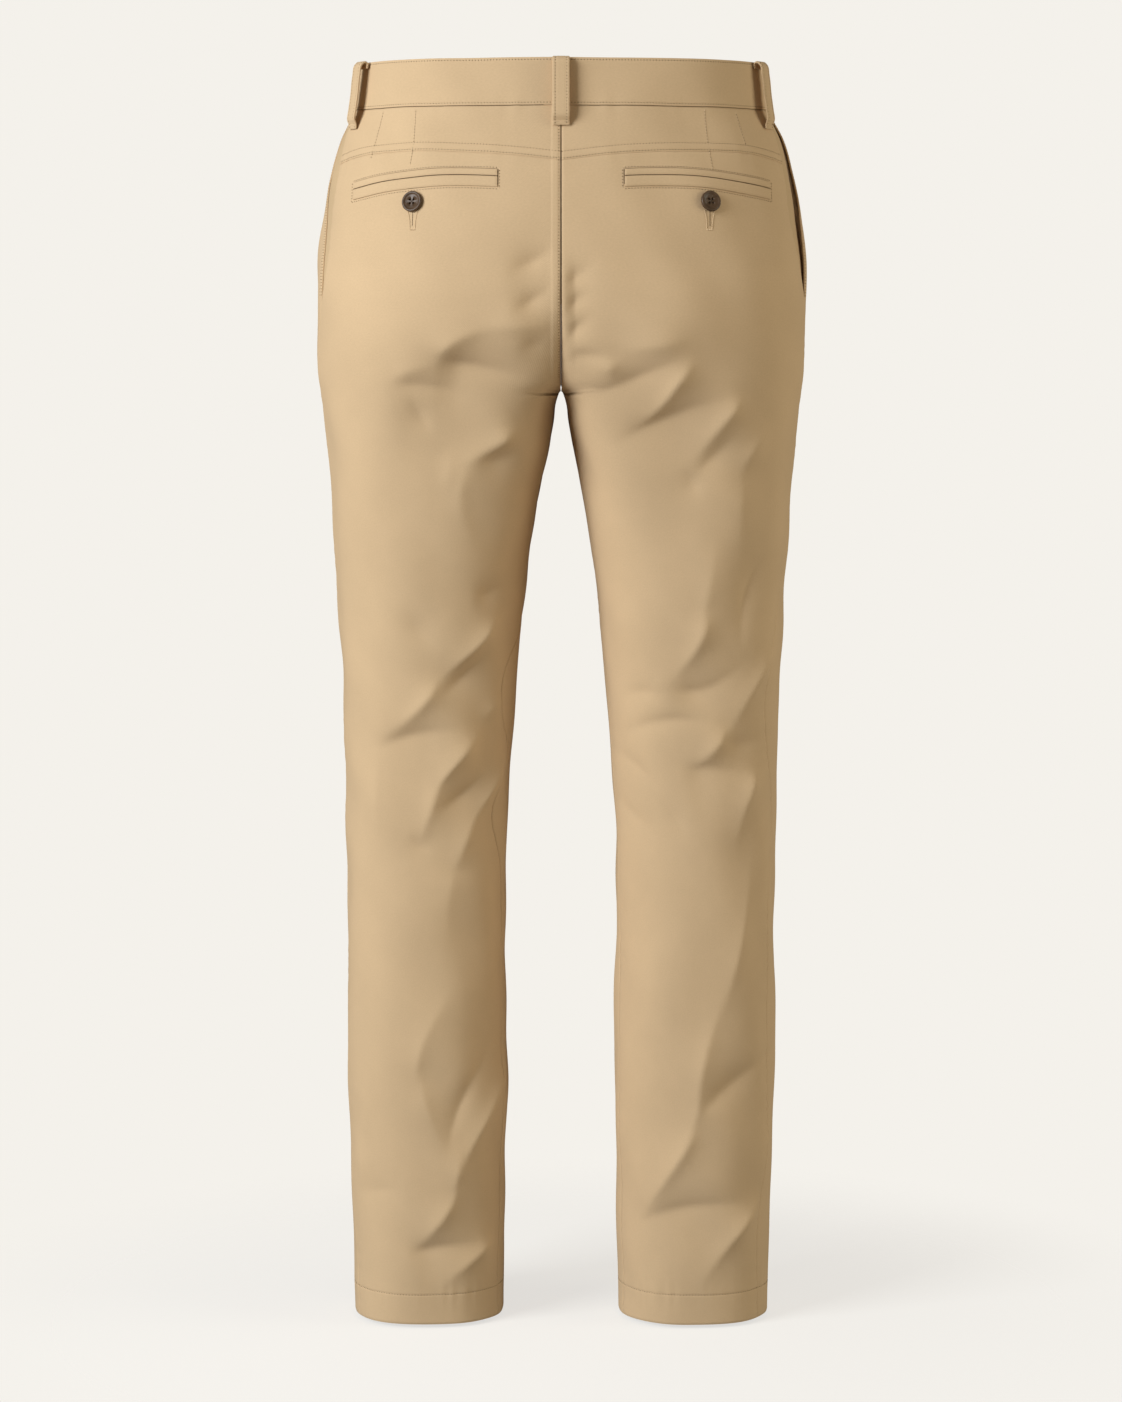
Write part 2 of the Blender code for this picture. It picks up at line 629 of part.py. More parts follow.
def make_front(leg):
    heights = rows_of(FRONT_TOP_RUNS + LEG_RUNS)
    heights[0] -= SEAM_GAP / 2 * MM

    def place(across, up, inside):
        height = heights[np.rint((1 - up) * (len(heights) - 1)).astype(int)]
        start = mouth_angle(leg, height) - gap_angle()
        angle = column_angle(start, front_end(leg, height), height, across)
        open_share = np.clip((height / MM - POCKET_FOOT) / (-BAND_HALF - POCKET_FOOT), 0, 1)
        from_mouth = np.degrees(start - angle)
        mouth = MOUTH_RAISE[leg] * MM * np.sin(np.pi * open_share) * np.exp(-((from_mouth / MOUTH_SPREAD) ** 2))
        lift = mouth + lap_lift(leg, angle, height, FLY_RAISE) + cloth_depth(height, inside)
        return cloth(leg, angle, height, lift)

    wall(f"front_{leg}", FRONT_COLUMNS, len(heights) - 1, place)


def make_pocket_facing(leg):
    """The cloth behind a side pocket's mouth, under the edges of the front and the back."""
    top = -(BAND_HALF + SEAM_GAP) * MM
    foot = (POCKET_FOOT - FACING_BELOW_MOUTH) * MM

    def place(across, up, inside):
        height = foot + (top - foot) * up
        start = side_seam(leg, height) + math.radians(FACING_UNDER_BACK)
        end = mouth_angle(leg, height) - math.radians(FACING_UNDER_FRONT)
        depth = FACING_DEPTH + (FACING_CLOTH if inside else 0)
        return cloth(leg, start + (end - start) * across, height, -depth * MM)

    wall(f"pocket_facing_{leg}", FACING_COLUMNS, FACING_ROWS, place, "facing")


def make_waistband(leg):
    half = (BAND_HALF - SEAM_GAP / 2) * MM

    def place(across, up, inside):
        height = half * (2 * up - 1)
        start = angle_at(SEAM_GAP / 2 * MM, height)
        round_end = -angle_at(BAND_FLAT * MM, height)
        front = -BAND_LAP if leg == "left" else SEAM_GAP / 2
        share = (across - BAND_ROUND_SHARE) / (1 - BAND_ROUND_SHARE)
        flat_end = -angle_at((BAND_FLAT + (front - BAND_FLAT) * np.maximum(share, 0)) * MM, height)
        angle = np.where(share > 0, flat_end, start + (round_end - start) * across / BAND_ROUND_SHARE)
        lift = BAND_PROUD * MM + lap_lift(leg, angle, height, BAND_RAISE)
        return cloth(leg, angle, height, lift - (BAND_CLOTH * MM if inside else 0))

    wall(f"waistband_{leg}", BAND_COLUMNS, 1, place)


def make_welt(leg, name, top_drop, foot_drop):
    """One lip of a back pocket, laid on the back panel."""

    def place(across, up, inside):
        out = WELT_FROM + (WELT_TO - WELT_FROM) * across
        crest = WELT_TOP - WELT_SAG * ((out - WELT_CREST) / (WELT_TO - WELT_CREST)) ** 2
        height = (crest - foot_drop + (foot_drop - top_drop) * up) * MM
        lift = (SEAM_GAP + (0 if inside else WELT_CLOTH)) * MM
        return cloth(leg, angle_at(out * MM, height), height, lift)

    wall(f"{name}_{leg}", WELT_COLUMNS, 1, place)


def frame_at(leg, angle, height, lift):
    """A frame standing on the cloth: X across, Y up along it, Z out."""
    angle = np.array([angle])
    height = np.array([height])
    point = Vector(cloth(leg, angle, height, lift)[0])
    normal = Vector(outward(sheet_point, leg, angle, height)[0])
    up = (Vector((0, 0, 1)) - normal * normal.z).normalized()
    across = up.cross(normal)
    turn = Matrix((across, up, normal)).transposed().to_4x4()
    return Matrix.Translation(point) @ turn


def make_belt_loop(name, leg, angle):
    """A strip sewn down at both ends and standing off the waistband between them."""
    heights = np.array([row[0] for row in LOOP_PATH]) * MM
    lifts = np.array([row[1] for row in LOOP_PATH]) * MM
    if angle is None:
        middle = tube_point(leg, angle_at(0 * MM, heights), heights)
        out = Vector((0, 1, 0))
    else:
        middle = tube_point(leg, np.full_like(heights, math.radians(angle)), heights)
        out = outward(tube_point, leg, np.array([math.radians(angle)]), np.array([0.0]))[0]
        out = Vector((out[0], out[1], 0)).normalized()
    across = Vector((0, 0, 1)).cross(out)
    path = [Vector(point) + out * lift for point, lift in zip(middle, lifts)]
    half_width = LOOP_WIDTH / 2 * MM
    mesh = bmesh.new()
    rings = []
    for index, point in enumerate(path):
        before = path[max(index - 1, 0)]
        after = path[min(index + 1, len(path) - 1)]
        face_out = across.cross(after - before).normalized() * (LOOP_CLOTH / 2 * MM)
        corners = ((-1, -1), (1, -1), (1, 1), (-1, 1))
        rings.append([mesh.verts.new(point + across * half_width * x + face_out * y) for x, y in corners])
    join_rings(mesh, rings)
    add_object(name, mesh, "cloth")


def make_button(name, leg, angle, height, lift):
    """A round button with a raised rim and four holes, turned about its own axis and set on the cloth."""
    mesh = bmesh.new()
    rings = []
    for share, up in BUTTON_PROFILE:
        made = bmesh.ops.create_circle(mesh, segments=BUTTON_SIDES, radius=share * BUTTON_RADIUS * MM)
        bmesh.ops.translate(mesh, verts=made["verts"], vec=(0, 0, up * MM))
        rings.append(made["verts"])
    join_rings(mesh, rings)
    set_on = frame_at(leg, angle, height, lift)
    bmesh.ops.transform(mesh, matrix=set_on, verts=mesh.verts)
    button = add_object(name, mesh, "button")
    cutter = bmesh.new()
    radius = BUTTON_HOLE * MM
    for x, y in ((-1, -1), (1, -1), (1, 1), (-1, 1)):
        place = Matrix.Translation((x * BUTTON_HOLE_OUT * MM, y * BUTTON_HOLE_OUT * MM, 0))
        bmesh.ops.create_cone(cutter, cap_ends=True, segments=BUTTON_HOLE_SIDES, radius1=radius, radius2=radius,
                              depth=BUTTON_CUT * MM, matrix=set_on @ place)
    use_shape(button, add_object(f"{name}_holes", cutter, "button"), "DIFFERENCE")


def make_zip_tape(leg):
    top = TAPE_TOP * MM
    foot = TAPE_FOOT * MM

    def place(across, up, inside):
        height = foot + (top - foot) * up
        out = TAPE_OUTER + (TAPE_INNER - TAPE_OUTER) * across
        depth = TAPE_OUTER_DEPTH + (TAPE_INNER_DEPTH - TAPE_OUTER_DEPTH) * across
        depth = depth + (TAPE_CLOTH if inside else 0)
        return cloth(leg, -angle_at(out * MM, height), height, -depth * MM)

    wall(f"zip_tape_{leg}", TAPE_COLUMNS, TAPE_ROWS, place, "zip_tape")


def make_zip_slider():
    """Two plates joined by a post between the tapes, and a tab hanging flat in front of them."""
    mesh = bmesh.new()
    wing, post = SLIDER_WING * MM, SLIDER_POST * MM
    front, plate, core = SLIDER_DEPTH * MM, SLIDER_PLATE * MM, SLIDER_CORE * MM
    outline = (
        (-wing, -front), (wing, -front), (wing, -front - plate), (post, -front - plate),
        (post, -front - plate - core), (wing, -front - plate - core), (wing, -front - 2 * plate - core),
        (-wing, -front - 2 * plate - core), (-wing, -front - plate - core), (-post, -front - plate - core),
        (-post, -front - plate), (-wing, -front - plate),
    )
    foot = mesh.faces.new([mesh.verts.new((x, -SLIDER_LENGTH * MM, y)) for x, y in outline])
    made = bmesh.ops.extrude_face_region(mesh, geom=[foot])
    risen = [part for part in made["geom"] if isinstance(part, bmesh.types.BMVert)]
    bmesh.ops.translate(mesh, verts=risen, vec=(0, SLIDER_LENGTH * MM, 0))
    set_on = frame_at("right", -float(angle_at(0.0, SLIDER_TOP * MM)), SLIDER_TOP * MM, 0)
    bmesh.ops.transform(mesh, matrix=set_on, verts=mesh.verts)
    slider = add_object("zip_slider", mesh, "zip_metal")
    tab = bmesh.new()
    bmesh.ops.create_cube(tab, size=1)
    bmesh.ops.scale(tab, verts=tab.verts, vec=(TAB_WIDTH * MM, TAB_LENGTH * MM, TAB_THICKNESS * MM))
    hung = Vector((0, -TAB_LENGTH / 2 - TAB_BELOW, TAB_SUNK - SLIDER_DEPTH)) * MM
    bmesh.ops.translate(tab, verts=tab.verts, vec=hung)
    bmesh.ops.transform(tab, matrix=set_on, verts=tab.verts)
    use_shape(slider, add_object("zip_tab_shape", tab, "zip_metal"), "UNION")


def make_trousers():
    for leg in ("left", "right"):
        make_back(leg)
        make_yoke(leg)
        make_front(leg)
        make_pocket_facing(leg)
        make_waistband(leg)
        make_welt(leg, "welt_upper", 0, WELT_UPPER)
        make_welt(leg, "welt_lower", WELT_UPPER + SEAM_GAP, WELT_UPPER + SEAM_GAP + WELT_LOWER)
        across, height = (size * MM for size in BACK_BUTTON)
        make_button(f"back_button_{leg}", leg, float(angle_at(across, height)), height, BUTTON_OFF * MM)
        make_zip_tape(leg)
    for name, (leg, angle) in LOOP_ANGLES.items():
        make_belt_loop(name, leg, angle)
    angle = -float(angle_at(WAIST_BUTTON_ACROSS * MM, 0.0))
    make_button("waist_button", "right", angle, 0.0, (BAND_PROUD + BAND_RAISE + BUTTON_OFF) * MM)
    make_zip_slider()


clear_scene()
make_trousers()
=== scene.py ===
"""Chino trousers with their cloth, folds, seams, stitching, buttons and zip, from behind in a pale studio.

Metres, +Z up, +X towards the wearer's left, -Y to the front. The origin is the centre of the waistband.
The cloth is one sheet: a tube round each leg, cut off at the centre plane above the crotch, with its folds
pushed in and out of it. Every piece is a thin wall laid on that sheet.
"""

import json
import math
from collections import namedtuple

import bmesh
import bpy
import numpy as np
from mathutils import Matrix, Vector

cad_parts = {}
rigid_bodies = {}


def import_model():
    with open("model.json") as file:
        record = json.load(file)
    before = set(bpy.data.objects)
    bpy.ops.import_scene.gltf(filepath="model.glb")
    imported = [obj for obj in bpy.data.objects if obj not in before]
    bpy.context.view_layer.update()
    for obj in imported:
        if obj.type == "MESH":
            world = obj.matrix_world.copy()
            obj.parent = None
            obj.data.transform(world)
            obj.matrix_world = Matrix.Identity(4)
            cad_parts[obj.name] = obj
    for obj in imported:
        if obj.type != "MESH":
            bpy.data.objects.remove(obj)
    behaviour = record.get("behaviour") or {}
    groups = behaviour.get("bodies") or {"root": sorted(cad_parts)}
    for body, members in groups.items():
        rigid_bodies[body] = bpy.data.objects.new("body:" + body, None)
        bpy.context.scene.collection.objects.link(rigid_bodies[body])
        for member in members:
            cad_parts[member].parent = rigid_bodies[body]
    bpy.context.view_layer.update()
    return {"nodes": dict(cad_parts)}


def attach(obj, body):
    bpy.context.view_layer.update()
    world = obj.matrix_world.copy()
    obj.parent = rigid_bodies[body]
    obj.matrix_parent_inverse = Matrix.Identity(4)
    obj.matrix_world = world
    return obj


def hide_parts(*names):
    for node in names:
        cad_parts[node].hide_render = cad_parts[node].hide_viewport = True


for old in list(bpy.data.objects):
    bpy.data.objects.remove(old, do_unlink=True)
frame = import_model()

MM = 0.001
LEGS = ("left", "right")

# Heights, in millimetres from the middle of the waistband.
BAND_HALF = 18.7
CROTCH = -245
HEM = -1015.2
HEM_STITCH = -990
POCKET_FOOT = -172
FLY_FOOT = -166
FLY_BLEND_FOOT = -186
LOOP_FOOT = -34.4
LINE_TOP = -21

# Thicknesses and gaps, in millimetres: between pieces at a seam, and between a piece and one laid on it.
# Edges are rolled over.
CLOTH = 1.2
HEM_CLOTH = 2.4
BAND_CLOTH = 2.4
BAND_PROUD = 0.8
FACING_CLOTH = 1.0
LOOP_CLOTH = 1.8
SEAM_GAP = 0.06
LAY_GAP = 0.3
ROLL_DEPTH = 0.45
ROLL_WIDTH = 1.5

# A leg's usual radius, for gaps given as angles, and the small steps that normals are taken from.
LEG_RADIUS = 90
NORMAL_TURN = 0.004
NORMAL_DROP = 0.5

# How near the centre plane the folds die away, so that both sides meet there, and how far past it a point
# still counts as on its own side, in millimetres.
PLANE_FADE = 12
PLANE_SLACK = 0.01

# Each leg's tube on the wearer's left, in millimetres. Its section is four quarter ovals that meet at the
# middle, where the tube is deepest. Above the crotch its inner side lies past the centre plane, where the
# tube is cut off. The inner quarters are squarer near the crotch, where both thighs meet.
SECTIONS = (
    # height, outer, middle, inner, back, front, inner squareness
    (25, 166, 0, -166, 116, 113, 2.25),
    (0, 169, 0, -169, 118, 115, 2.25),
    (-19, 171.5, 0, -171.5, 120, 117, 2.25),
    (-41, 180.5, 1, -178, 125, 119, 2.25),
    (-73, 188, 5, -178, 133, 121, 2.25),
    (-106, 194, 14, -172, 139, 121.5, 2.25),
    (-138, 198, 28, -160, 142.5, 121, 2.3),
    (-171, 199.5, 47, -130, 143, 119, 2.6),
    (-204, 198.7, 69, -78, 138, 115.5, 3.1),
    (-225, 197.8, 83, -38, 131, 112, 3.7),
    (-236, 197.2, 89, -17, 127, 110, 4.1),
    (-245, 196.5, 93, 0, 123.5, 108.5, 4.5),
    (-253, 195.9, 96, 3.7, 120.5, 107, 4.4),
    (-270, 194.5, 99.5, 6.5, 115, 104, 3.9),
    (-302, 191, 102.5, 12.5, 107, 99.5, 3.3),
    (-368, 187, 105.5, 24.4, 96, 92, 2.7),
    (-435, 182.7, 107.5, 32.3, 87, 85, 2.4),
    (-501, 180.2, 109.5, 38.6, 79, 78, 2.25),
    (-568, 178.5, 111, 43.7, 72.5, 72, 2.25),
    (-602, 178, 111.6, 45.2, 70.5, 70, 2.25),
    (-737, 178.5, 112, 45.6, 69, 67, 2.25),
    (-839, 177.3, 111.6, 45.8, 67, 65, 2.25),
    (-941, 175, 111.3, 47.5, 64, 63, 2.25),
    (-976, 173.6, 110.9, 48.2, 63, 62.5, 2.25),
    (-1016, 173.2, 110.8, 48.5, 62, 62, 2.25),
)
SQUARENESS = 2.25

# Seams, in degrees round the leg: 0 is its outer side, 90 its back, 180 its inner side and -90 its front.
SIDE_SEAM = {
    # height, angle
    "left": ((-19, 16), (-73, 19), (-106, 21), (-138, 23), (-171, 20), (-204, 16), (-333, 8),
             (-460, 5.5), (-600, 5.5), (-800, 12), (-940, 22), (-1016, 26)),
    "right": ((-19, 20), (-73, 20), (-106, 22), (-138, 18), (-171, 13), (-204, 6.5), (-270, 6.5),
              (-333, 10), (-392, 22), (-460, 35), (-490, 39), (-530, 35), (-606, 25), (-640, 30),
              (-740, 31.5), (-887, 30), (-940, 39), (-990, 35), (-1016, 35)),
}
INSEAM = {
    # height, angle
    "left": ((-245, 180), (-300, 180), (-400, 174.5), (-440, 166), (-480, 145), (-510, 148.5),
             (-543, 164), (-580, 144), (-640, 156), (-800, 157), (-1016, 156)),
    "right": ((-245, 180), (-400, 177), (-600, 166), (-700, 161), (-1016, 159)),
}
YOKE_MIDDLE = -54
YOKE_DROP = 8
YOKE_FADE = 60

# How the columns of a leg panel turn as they pass the crotch. The last ones take up the seam's sharp turn
# there.
COLUMN_TURN = (
    # height, angle of the last column if they were even
    (-171, 105),
    (-204, 116),
    (-225, 126),
    (-245, 140),
    (-270, 156),
    (-302, 168),
    (-368, 174),
    (-400, 175),
)
EVEN_COLUMNS = 0.8

# Side pockets: how far forward the mouth slants, how it gapes, and the facing under both of its edges. Angles
# are in degrees and depths in millimetres below the cloth's face.
MOUTH_SLANT = 22
MOUTH_RAISE = {"left": 0.1, "right": 2.8}
MOUTH_SPREAD = 12
MOUTH_RADIUS = 165
FACING_DEPTH = {"left": 1.35, "right": 2.1}
FACING_UNDER_BACK = 3
FACING_UNDER_FRONT = 7
FACING_BELOW_MOUTH = 8

# The fly and the waistband's end, which lap over the wearer's right side. Sizes across are from the centre
# plane. The waistband's columns turn with the tube over a share of its length, and are flat from there to its
# end.
FLY_LAP = 4
FLY_RAISE = 1.7
BAND_LAP = 20
BAND_RAISE = 2.9
BAND_FLAT = 30
BAND_ROUND = 0.9
LAP_BLEND_FROM = 16
LAP_BLEND_TO = 6

# The length of each piece and the spacing of its points, across it and up it, in millimetres. They are closer
# at its edges and along its stitches.
WELT_UPPER = 4.9
WELT_LOWER = 8.1
GRIDS = {
    "back": ((200, 2.2), (956, 3)),
    "back_yoke": ((190, 1.6), (40, 1.2)),
    "front": ((200, 2.6), (996, 3.6)),
    "pocket_facing": ((60, 3), (160, 4)),
    "waistband": ((460, 2.5), (2 * BAND_HALF, 1.3)),
    "welt_upper": ((120, 1.6), (WELT_UPPER, 0.9)),
    "welt_lower": ((120, 1.6), (WELT_LOWER, 0.9)),
}
CLOSE_STEPS = (-2.4, -1.6, -0.9, -0.4, 0, 0.4, 0.9, 1.6, 2.4)
LEAST_STEP = 0.25
EVEN_ROOM = 0.6

# Folds, from their start by a middle point to their end, each an angle round the leg and a height. The depth
# is positive for a ridge. Upper and lower are how far it spreads on each side. Peak is where along it it is
# deepest.
Fold = namedtuple("Fold", "start middle end depth upper lower peak")
LEFT_FOLDS = (
    # The seat and the thigh under it.
    ((81, -222), (85, -201), (102, -187), 5, 16, 12, 0.35),
    ((89, -196), (100, -192), (112, -195), 4, 22, 14, 0.5),
    ((81, -220), (98, -225), (131, -238), -5, 9, 34, 0.35),
    ((64, -239), (74, -226), (89, -223), 2.5, 14, 11, 0.4),
    ((64, -241), (83, -241), (113, -256), -3.5, 10, 24, 0.35),
    ((99, -304), (116, -290), (128, -268), 6.5, 13, 8, 0.7),
    ((111, -301), (122, -297), (135, -287), -2.5, 8, 24, 0.4),
    ((114, -290), (106, -337), (128, -389), 3.5, 15, 15, 0.35),
    ((74, -247), (82, -264), (92, -285), -2.5, 8, 9, 0.5),
    ((98, -287), (99, -308), (97, -330), 1.5, 9, 9, 0.5),
    ((86, -150), (92, -142), (96, -128), -4, 10, 12, 0.5),
    ((94, -179), (98, -173), (101, -157), -4.5, 10, 12, 0.5),
    ((105, -210), (109, -207), (112, -200), -2, 8, 14, 0.5),
    # The back of the knee.
    ((73, -416), (84, -436), (98, -455), -2.2, 11, 10, 0.5),
    ((117, -412), (130, -406), (153, -400), -3.5, 9, 16, 0.4),
    ((136, -423), (119, -451), (92, -485), 6, 9, 8, 0.35),
    ((95, -495), (114, -475), (132, -450), -4.5, 9, 20, 0.45),
    ((99, -472), (84, -503), (51, -535), 5, 10, 9, 0.35),
    ((51, -539), (82, -523), (124, -520), -4.5, 9, 26, 0.4),
    ((126, -512), (137, -503), (151, -494), 2, 7, 7, 0.5),
    ((134, -516), (105, -554), (92, -589), 6.5, 10, 9, 0.3),
    ((103, -560), (93, -591), (84, -628), 4, 10, 10, 0.35),
    ((96, -588), (115, -574), (140, -553), -5, 8, 16, 0.5),
    ((161, -534), (139, -571), (120, -606), 5, 9, 9, 0.5),
    ((131, -583), (120, -609), (107, -651), 4, 10, 10, 0.5),
    ((58, -524), (56, -574), (57, -627), 2, 18, 18, 0.5),
    ((79, -605), (87, -613), (97, -621), -1.5, 7, 7, 0.5),
    # The shin and hem.
    ((113, -635), (107, -663), (105, -709), 2, 14, 14, 0.3),
    ((120, -722), (90, -775), (86, -822), 4, 14, 14, 0.65),
    ((88, -797), (92, -835), (112, -883), 3.5, 10, 14, 0.4),
    ((148, -781), (118, -825), (104, -882), -4, 10, 10, 0.5),
    ((180, -788), (135, -844), (109, -903), 6, 10, 10, 0.5),
    ((115, -860), (112, -891), (108, -923), 3.5, 10, 10, 0.5),
    ((114, -897), (100, -928), (75, -959), 5, 10, 9, 0.4),
    ((75, -958), (100, -950), (151, -949), -4.5, 9, 26, 0.4),
    ((148, -945), (125, -962), (94, -989), 5, 10, 8, 0.35),
    ((25, -916), (54, -903), (78, -907), -1.5, 12, 9, 0.5),
    ((38, -859), (36, -885), (37, -915), 1.5, 8, 8, 0.5),
    # The front.
    ((-150, -268), (-112, -240), (-78, -216), -6, 13, 12, 0.4),
    ((-135, -300), (-104, -272), (-70, -258), -5, 14, 12, 0.5),
    ((-62, -498), (-92, -486), (-128, -500), -6, 13, 11, 0.4),
    ((-70, -540), (-100, -528), (-136, -545), -6, 12, 12, 0.5),
    ((-58, -905), (-92, -886), (-130, -902), -6, 12, 13, 0.5),
    ((-76, -940), (-104, -928), (-140, -944), -5, 11, 11, 0.4),
    ((-142, -285), (-108, -257), (-76, -240), 3.5, 9, 9, 0.5),
    ((-132, -340), (-118, -312), (-96, -292), -3, 12, 12, 0.4),
    ((-66, -518), (-96, -507), (-130, -520), 3.5, 9, 9, 0.5),
    ((-74, -572), (-98, -560), (-124, -574), -3, 12, 12, 0.5),
    ((-60, -924), (-96, -908), (-134, -922), 3, 9, 9, 0.5),
)
RIGHT_FOLDS = (
    # The seat and the thigh under it.
    ((104, -163), (97, -152), (89, -140), -3, 7, 10, 0.4),
    ((109, -185), (102, -173), (94, -162), -3.5, 7, 10, 0.4),
    ((117, -206), (107, -193), (97, -179), -3.5, 7, 10, 0.4),
    ((123, -219), (114, -216), (106, -220), -2.5, 4, 12, 0.5),
    ((116, -233), (110, -225), (105, -217), 2.5, 9, 6, 0.5),
    ((146, -253), (109, -237), (74, -209), -4.5, 10, 24, 0.5),
    ((105, -214), (89, -207), (71, -201), 3.5, 22, 12, 0.6),
    ((75, -215), (97, -250), (126, -292), 5.5, 9, 9, 0.3),
    ((125, -292), (102, -267), (57, -246), -4.5, 8, 26, 0.45),
    ((60, -246), (75, -274), (91, -311), 5.5, 9, 9, 0.3),
    ((90, -314), (77, -296), (62, -270), -3.5, 8, 22, 0.5),
    ((42, -270), (57, -292), (63, -323), 4, 10, 12, 0.5),
    ((61, -305), (63, -343), (62, -395), 3.5, 20, 20, 0.4),
    ((94, -306), (89, -317), (83, -330), -2, 8, 8, 0.5),
    # The back of the knee.
    ((76, -354), (81, -403), (88, -450), 4.5, 10, 28, 0.6),
    ((83, -418), (88, -449), (113, -487), 6, 10, 10, 0.4),
    ((113, -480), (82, -485), (49, -450), -4.5, 9, 28, 0.35),
    ((41, -368), (58, -412), (58, -463), -5, 15, 10, 0.5),
    ((30, -449), (52, -486), (72, -534), 5.5, 10, 9, 0.35),
    ((72, -531), (56, -531), (24, -525), -3, 8, 16, 0.4),
    ((157, -531), (109, -511), (74, -519), -2.5, 5, 10, 0.5),
    ((148, -496), (126, -488), (107, -492), -1.5, 5, 8, 0.5),
    ((69, -514), (80, -537), (102, -555), 4.5, 9, 7, 0.35),
    ((102, -555), (78, -551), (42, -563), -3.5, 8, 26, 0.35),
    ((44, -551), (56, -581), (64, -628), 6, 9, 10, 0.3),
    ((175, -535), (132, -552), (116, -584), -2, 8, 9, 0.5),
    ((166, -575), (134, -595), (120, -619), -1.8, 7, 8, 0.5),
    ((122, -569), (106, -592), (90, -618), -1.8, 7, 8, 0.5),
    # The shin and hem.
    ((49, -612), (58, -685), (77, -767), 4.5, 12, 12, 0.6),
    ((66, -722), (85, -792), (88, -845), 5.5, 12, 12, 0.6),
    ((87, -808), (91, -842), (105, -876), 4, 12, 12, 0.5),
    ((89, -843), (105, -881), (142, -942), 6, 12, 9, 0.4),
    ((89, -843), (63, -811), (6, -783), -5, 10, 14, 0.4),
    ((142, -938), (94, -916), (30, -918), -4.5, 9, 30, 0.4),
    ((30, -910), (63, -944), (92, -996), 6, 11, 9, 0.35),
    # The front.
    ((-146, -262), (-106, -232), (-74, -212), -6, 14, 12, 0.5),
    ((-138, -292), (-108, -268), (-66, -246), -6, 13, 12, 0.4),
    ((-56, -508), (-88, -496), (-122, -505), -6, 13, 12, 0.6),
    ((-66, -556), (-96, -544), (-130, -552), -5, 12, 12, 0.5),
    ((-52, -884), (-84, -872), (-124, -892), -6, 12, 13, 0.5),
    ((-60, -932), (-98, -920), (-134, -938), -6, 12, 11, 0.4),
    ((-142, -276), (-106, -250), (-72, -230), 3.5, 9, 9, 0.5),
    ((-134, -332), (-116, -308), (-92, -284), -3, 12, 12, 0.4),
    ((-62, -532), (-92, -520), (-126, -528), 3.5, 9, 9, 0.5),
    ((-62, -592), (-90, -580), (-120, -592), -3, 12, 12, 0.5),
    ((-56, -908), (-92, -896), (-130, -912), 3, 9, 9, 0.5),
)

# A fold's line has this many steps, its crest is this round, and it blends over its turns and its crest, in
# millimetres. It ends after this many times its spread. Swell is how much fuller the soft cloth's folds are
# than the depths above.
FOLD_STEPS = 14
FOLD_EDGE = 1.6
FOLD_BLEND = 3
FOLD_CREST = 0.1
FOLD_REACH = 4
FOLD_SWELL = 1.15

# The cleft along the centre seam just above the crotch, in millimetres.
CLEFT_TOP = -150
CLEFT_DEPTH = 12
CLEFT_WIDTH = 11

# Faint unevenness of the whole sheet, in millimetres: waves of these lengths in many directions.
RIPPLE_COUNT = 16
RIPPLE_LENGTHS = (38, 130)
RIPPLE_HEIGHT = 0.22
RIPPLE_SEED = 11

# Puckers across the seams, in millimetres. They wander and swell along a seam, by shares and rates in a
# metre, start elsewhere on each seam, in metres, and are closer at the waistband and the yoke.
PUCKER_LENGTH = 15
PUCKER_HEIGHT = 0.3
PUCKER_REACH = 8
PUCKER_WANDER = ((2.4, 61), (1.7, 149))
PUCKER_SWELL = (0.6, 0.4, 43)
INSEAM_START = 0.3
CENTRE_START = 0.1
YOKE_START = 1
BAND_CLOSER = 1.4
YOKE_CLOSER = 1.5

# The felled centre back seam, its stitches and the yoke's, in millimetres from the seam. A folded edge rises
# over a short step, and the centre fell dies away above the crotch.
FELL_WIDTH = 7.3
FELL_RAISE = 0.45
FELL_STEP = 0.8
FELL_FADE = 12
FELL_STITCH = 1.8
YOKE_FELL = 6.6
YOKE_RAISE = 0.3
YOKE_STEP = 1.2
YOKE_STITCH = 1.3
BAND_STITCH = 1.9
MOUTH_STITCHES = (1.8, 7.5)
GROOVE_DEPTH = 0.3
GROOVE_WIDTH = 0.7

# Where lines of stitches end, in millimetres short of the centre, the waistband's lap and the pocket mouth's
# foot.
LINE_IN = 1
LAP_LINE_IN = 2
MOUTH_LINE_IN = 3

# Back pockets, in millimetres across from the centre back seam and in height.
WELT_FROM = 50
WELT_TO = 166
WELT_TOP = -68
WELT_CREST = 80
WELT_SAG = 10
WELT_MOUTH = 0.8
WELT_HEIGHT = WELT_UPPER + WELT_MOUTH + WELT_LOWER
WELT_CLOTH = 1.1
WELT_FRAME = 1.6
WELT_EDGE = 0.3
BACK_BUTTON = (117, -94.5)

# Buttonholes, in millimetres from the button's middle: a back one's lips run down from under the button.
# The slit between the lips is drawn as a line of painted shade.
BACK_LIP = ((4.0, -6.5), (2.6, -13), (2.0, -21.5))
BACK_SLIT = ((0, -7), (0.1, -13), (0.4, -20.5))
BACK_BAR = ((-2.4, -22), (0, -22), (2.4, -22))
WAIST_LIP = ((0, 1.3), (8, 1.3), (13.5, 1.1))
WAIST_SLIT = ((0, 0), (8, 0), (13, 0))
WAIST_BAR = ((14, -2), (14, 0), (14, 2))

# Darts that run down from the waistband, as millimetres across and height.
DARTS = {
    "left": (((114.6, -20.5), (116.5, -48), (119.6, -66)), ((142, -20.5), (148.5, -48), (151.5, -60))),
    "right": (((114, -20.5), (116, -40), (120.5, -69)), ((139.5, -22), (147, -50))),
}

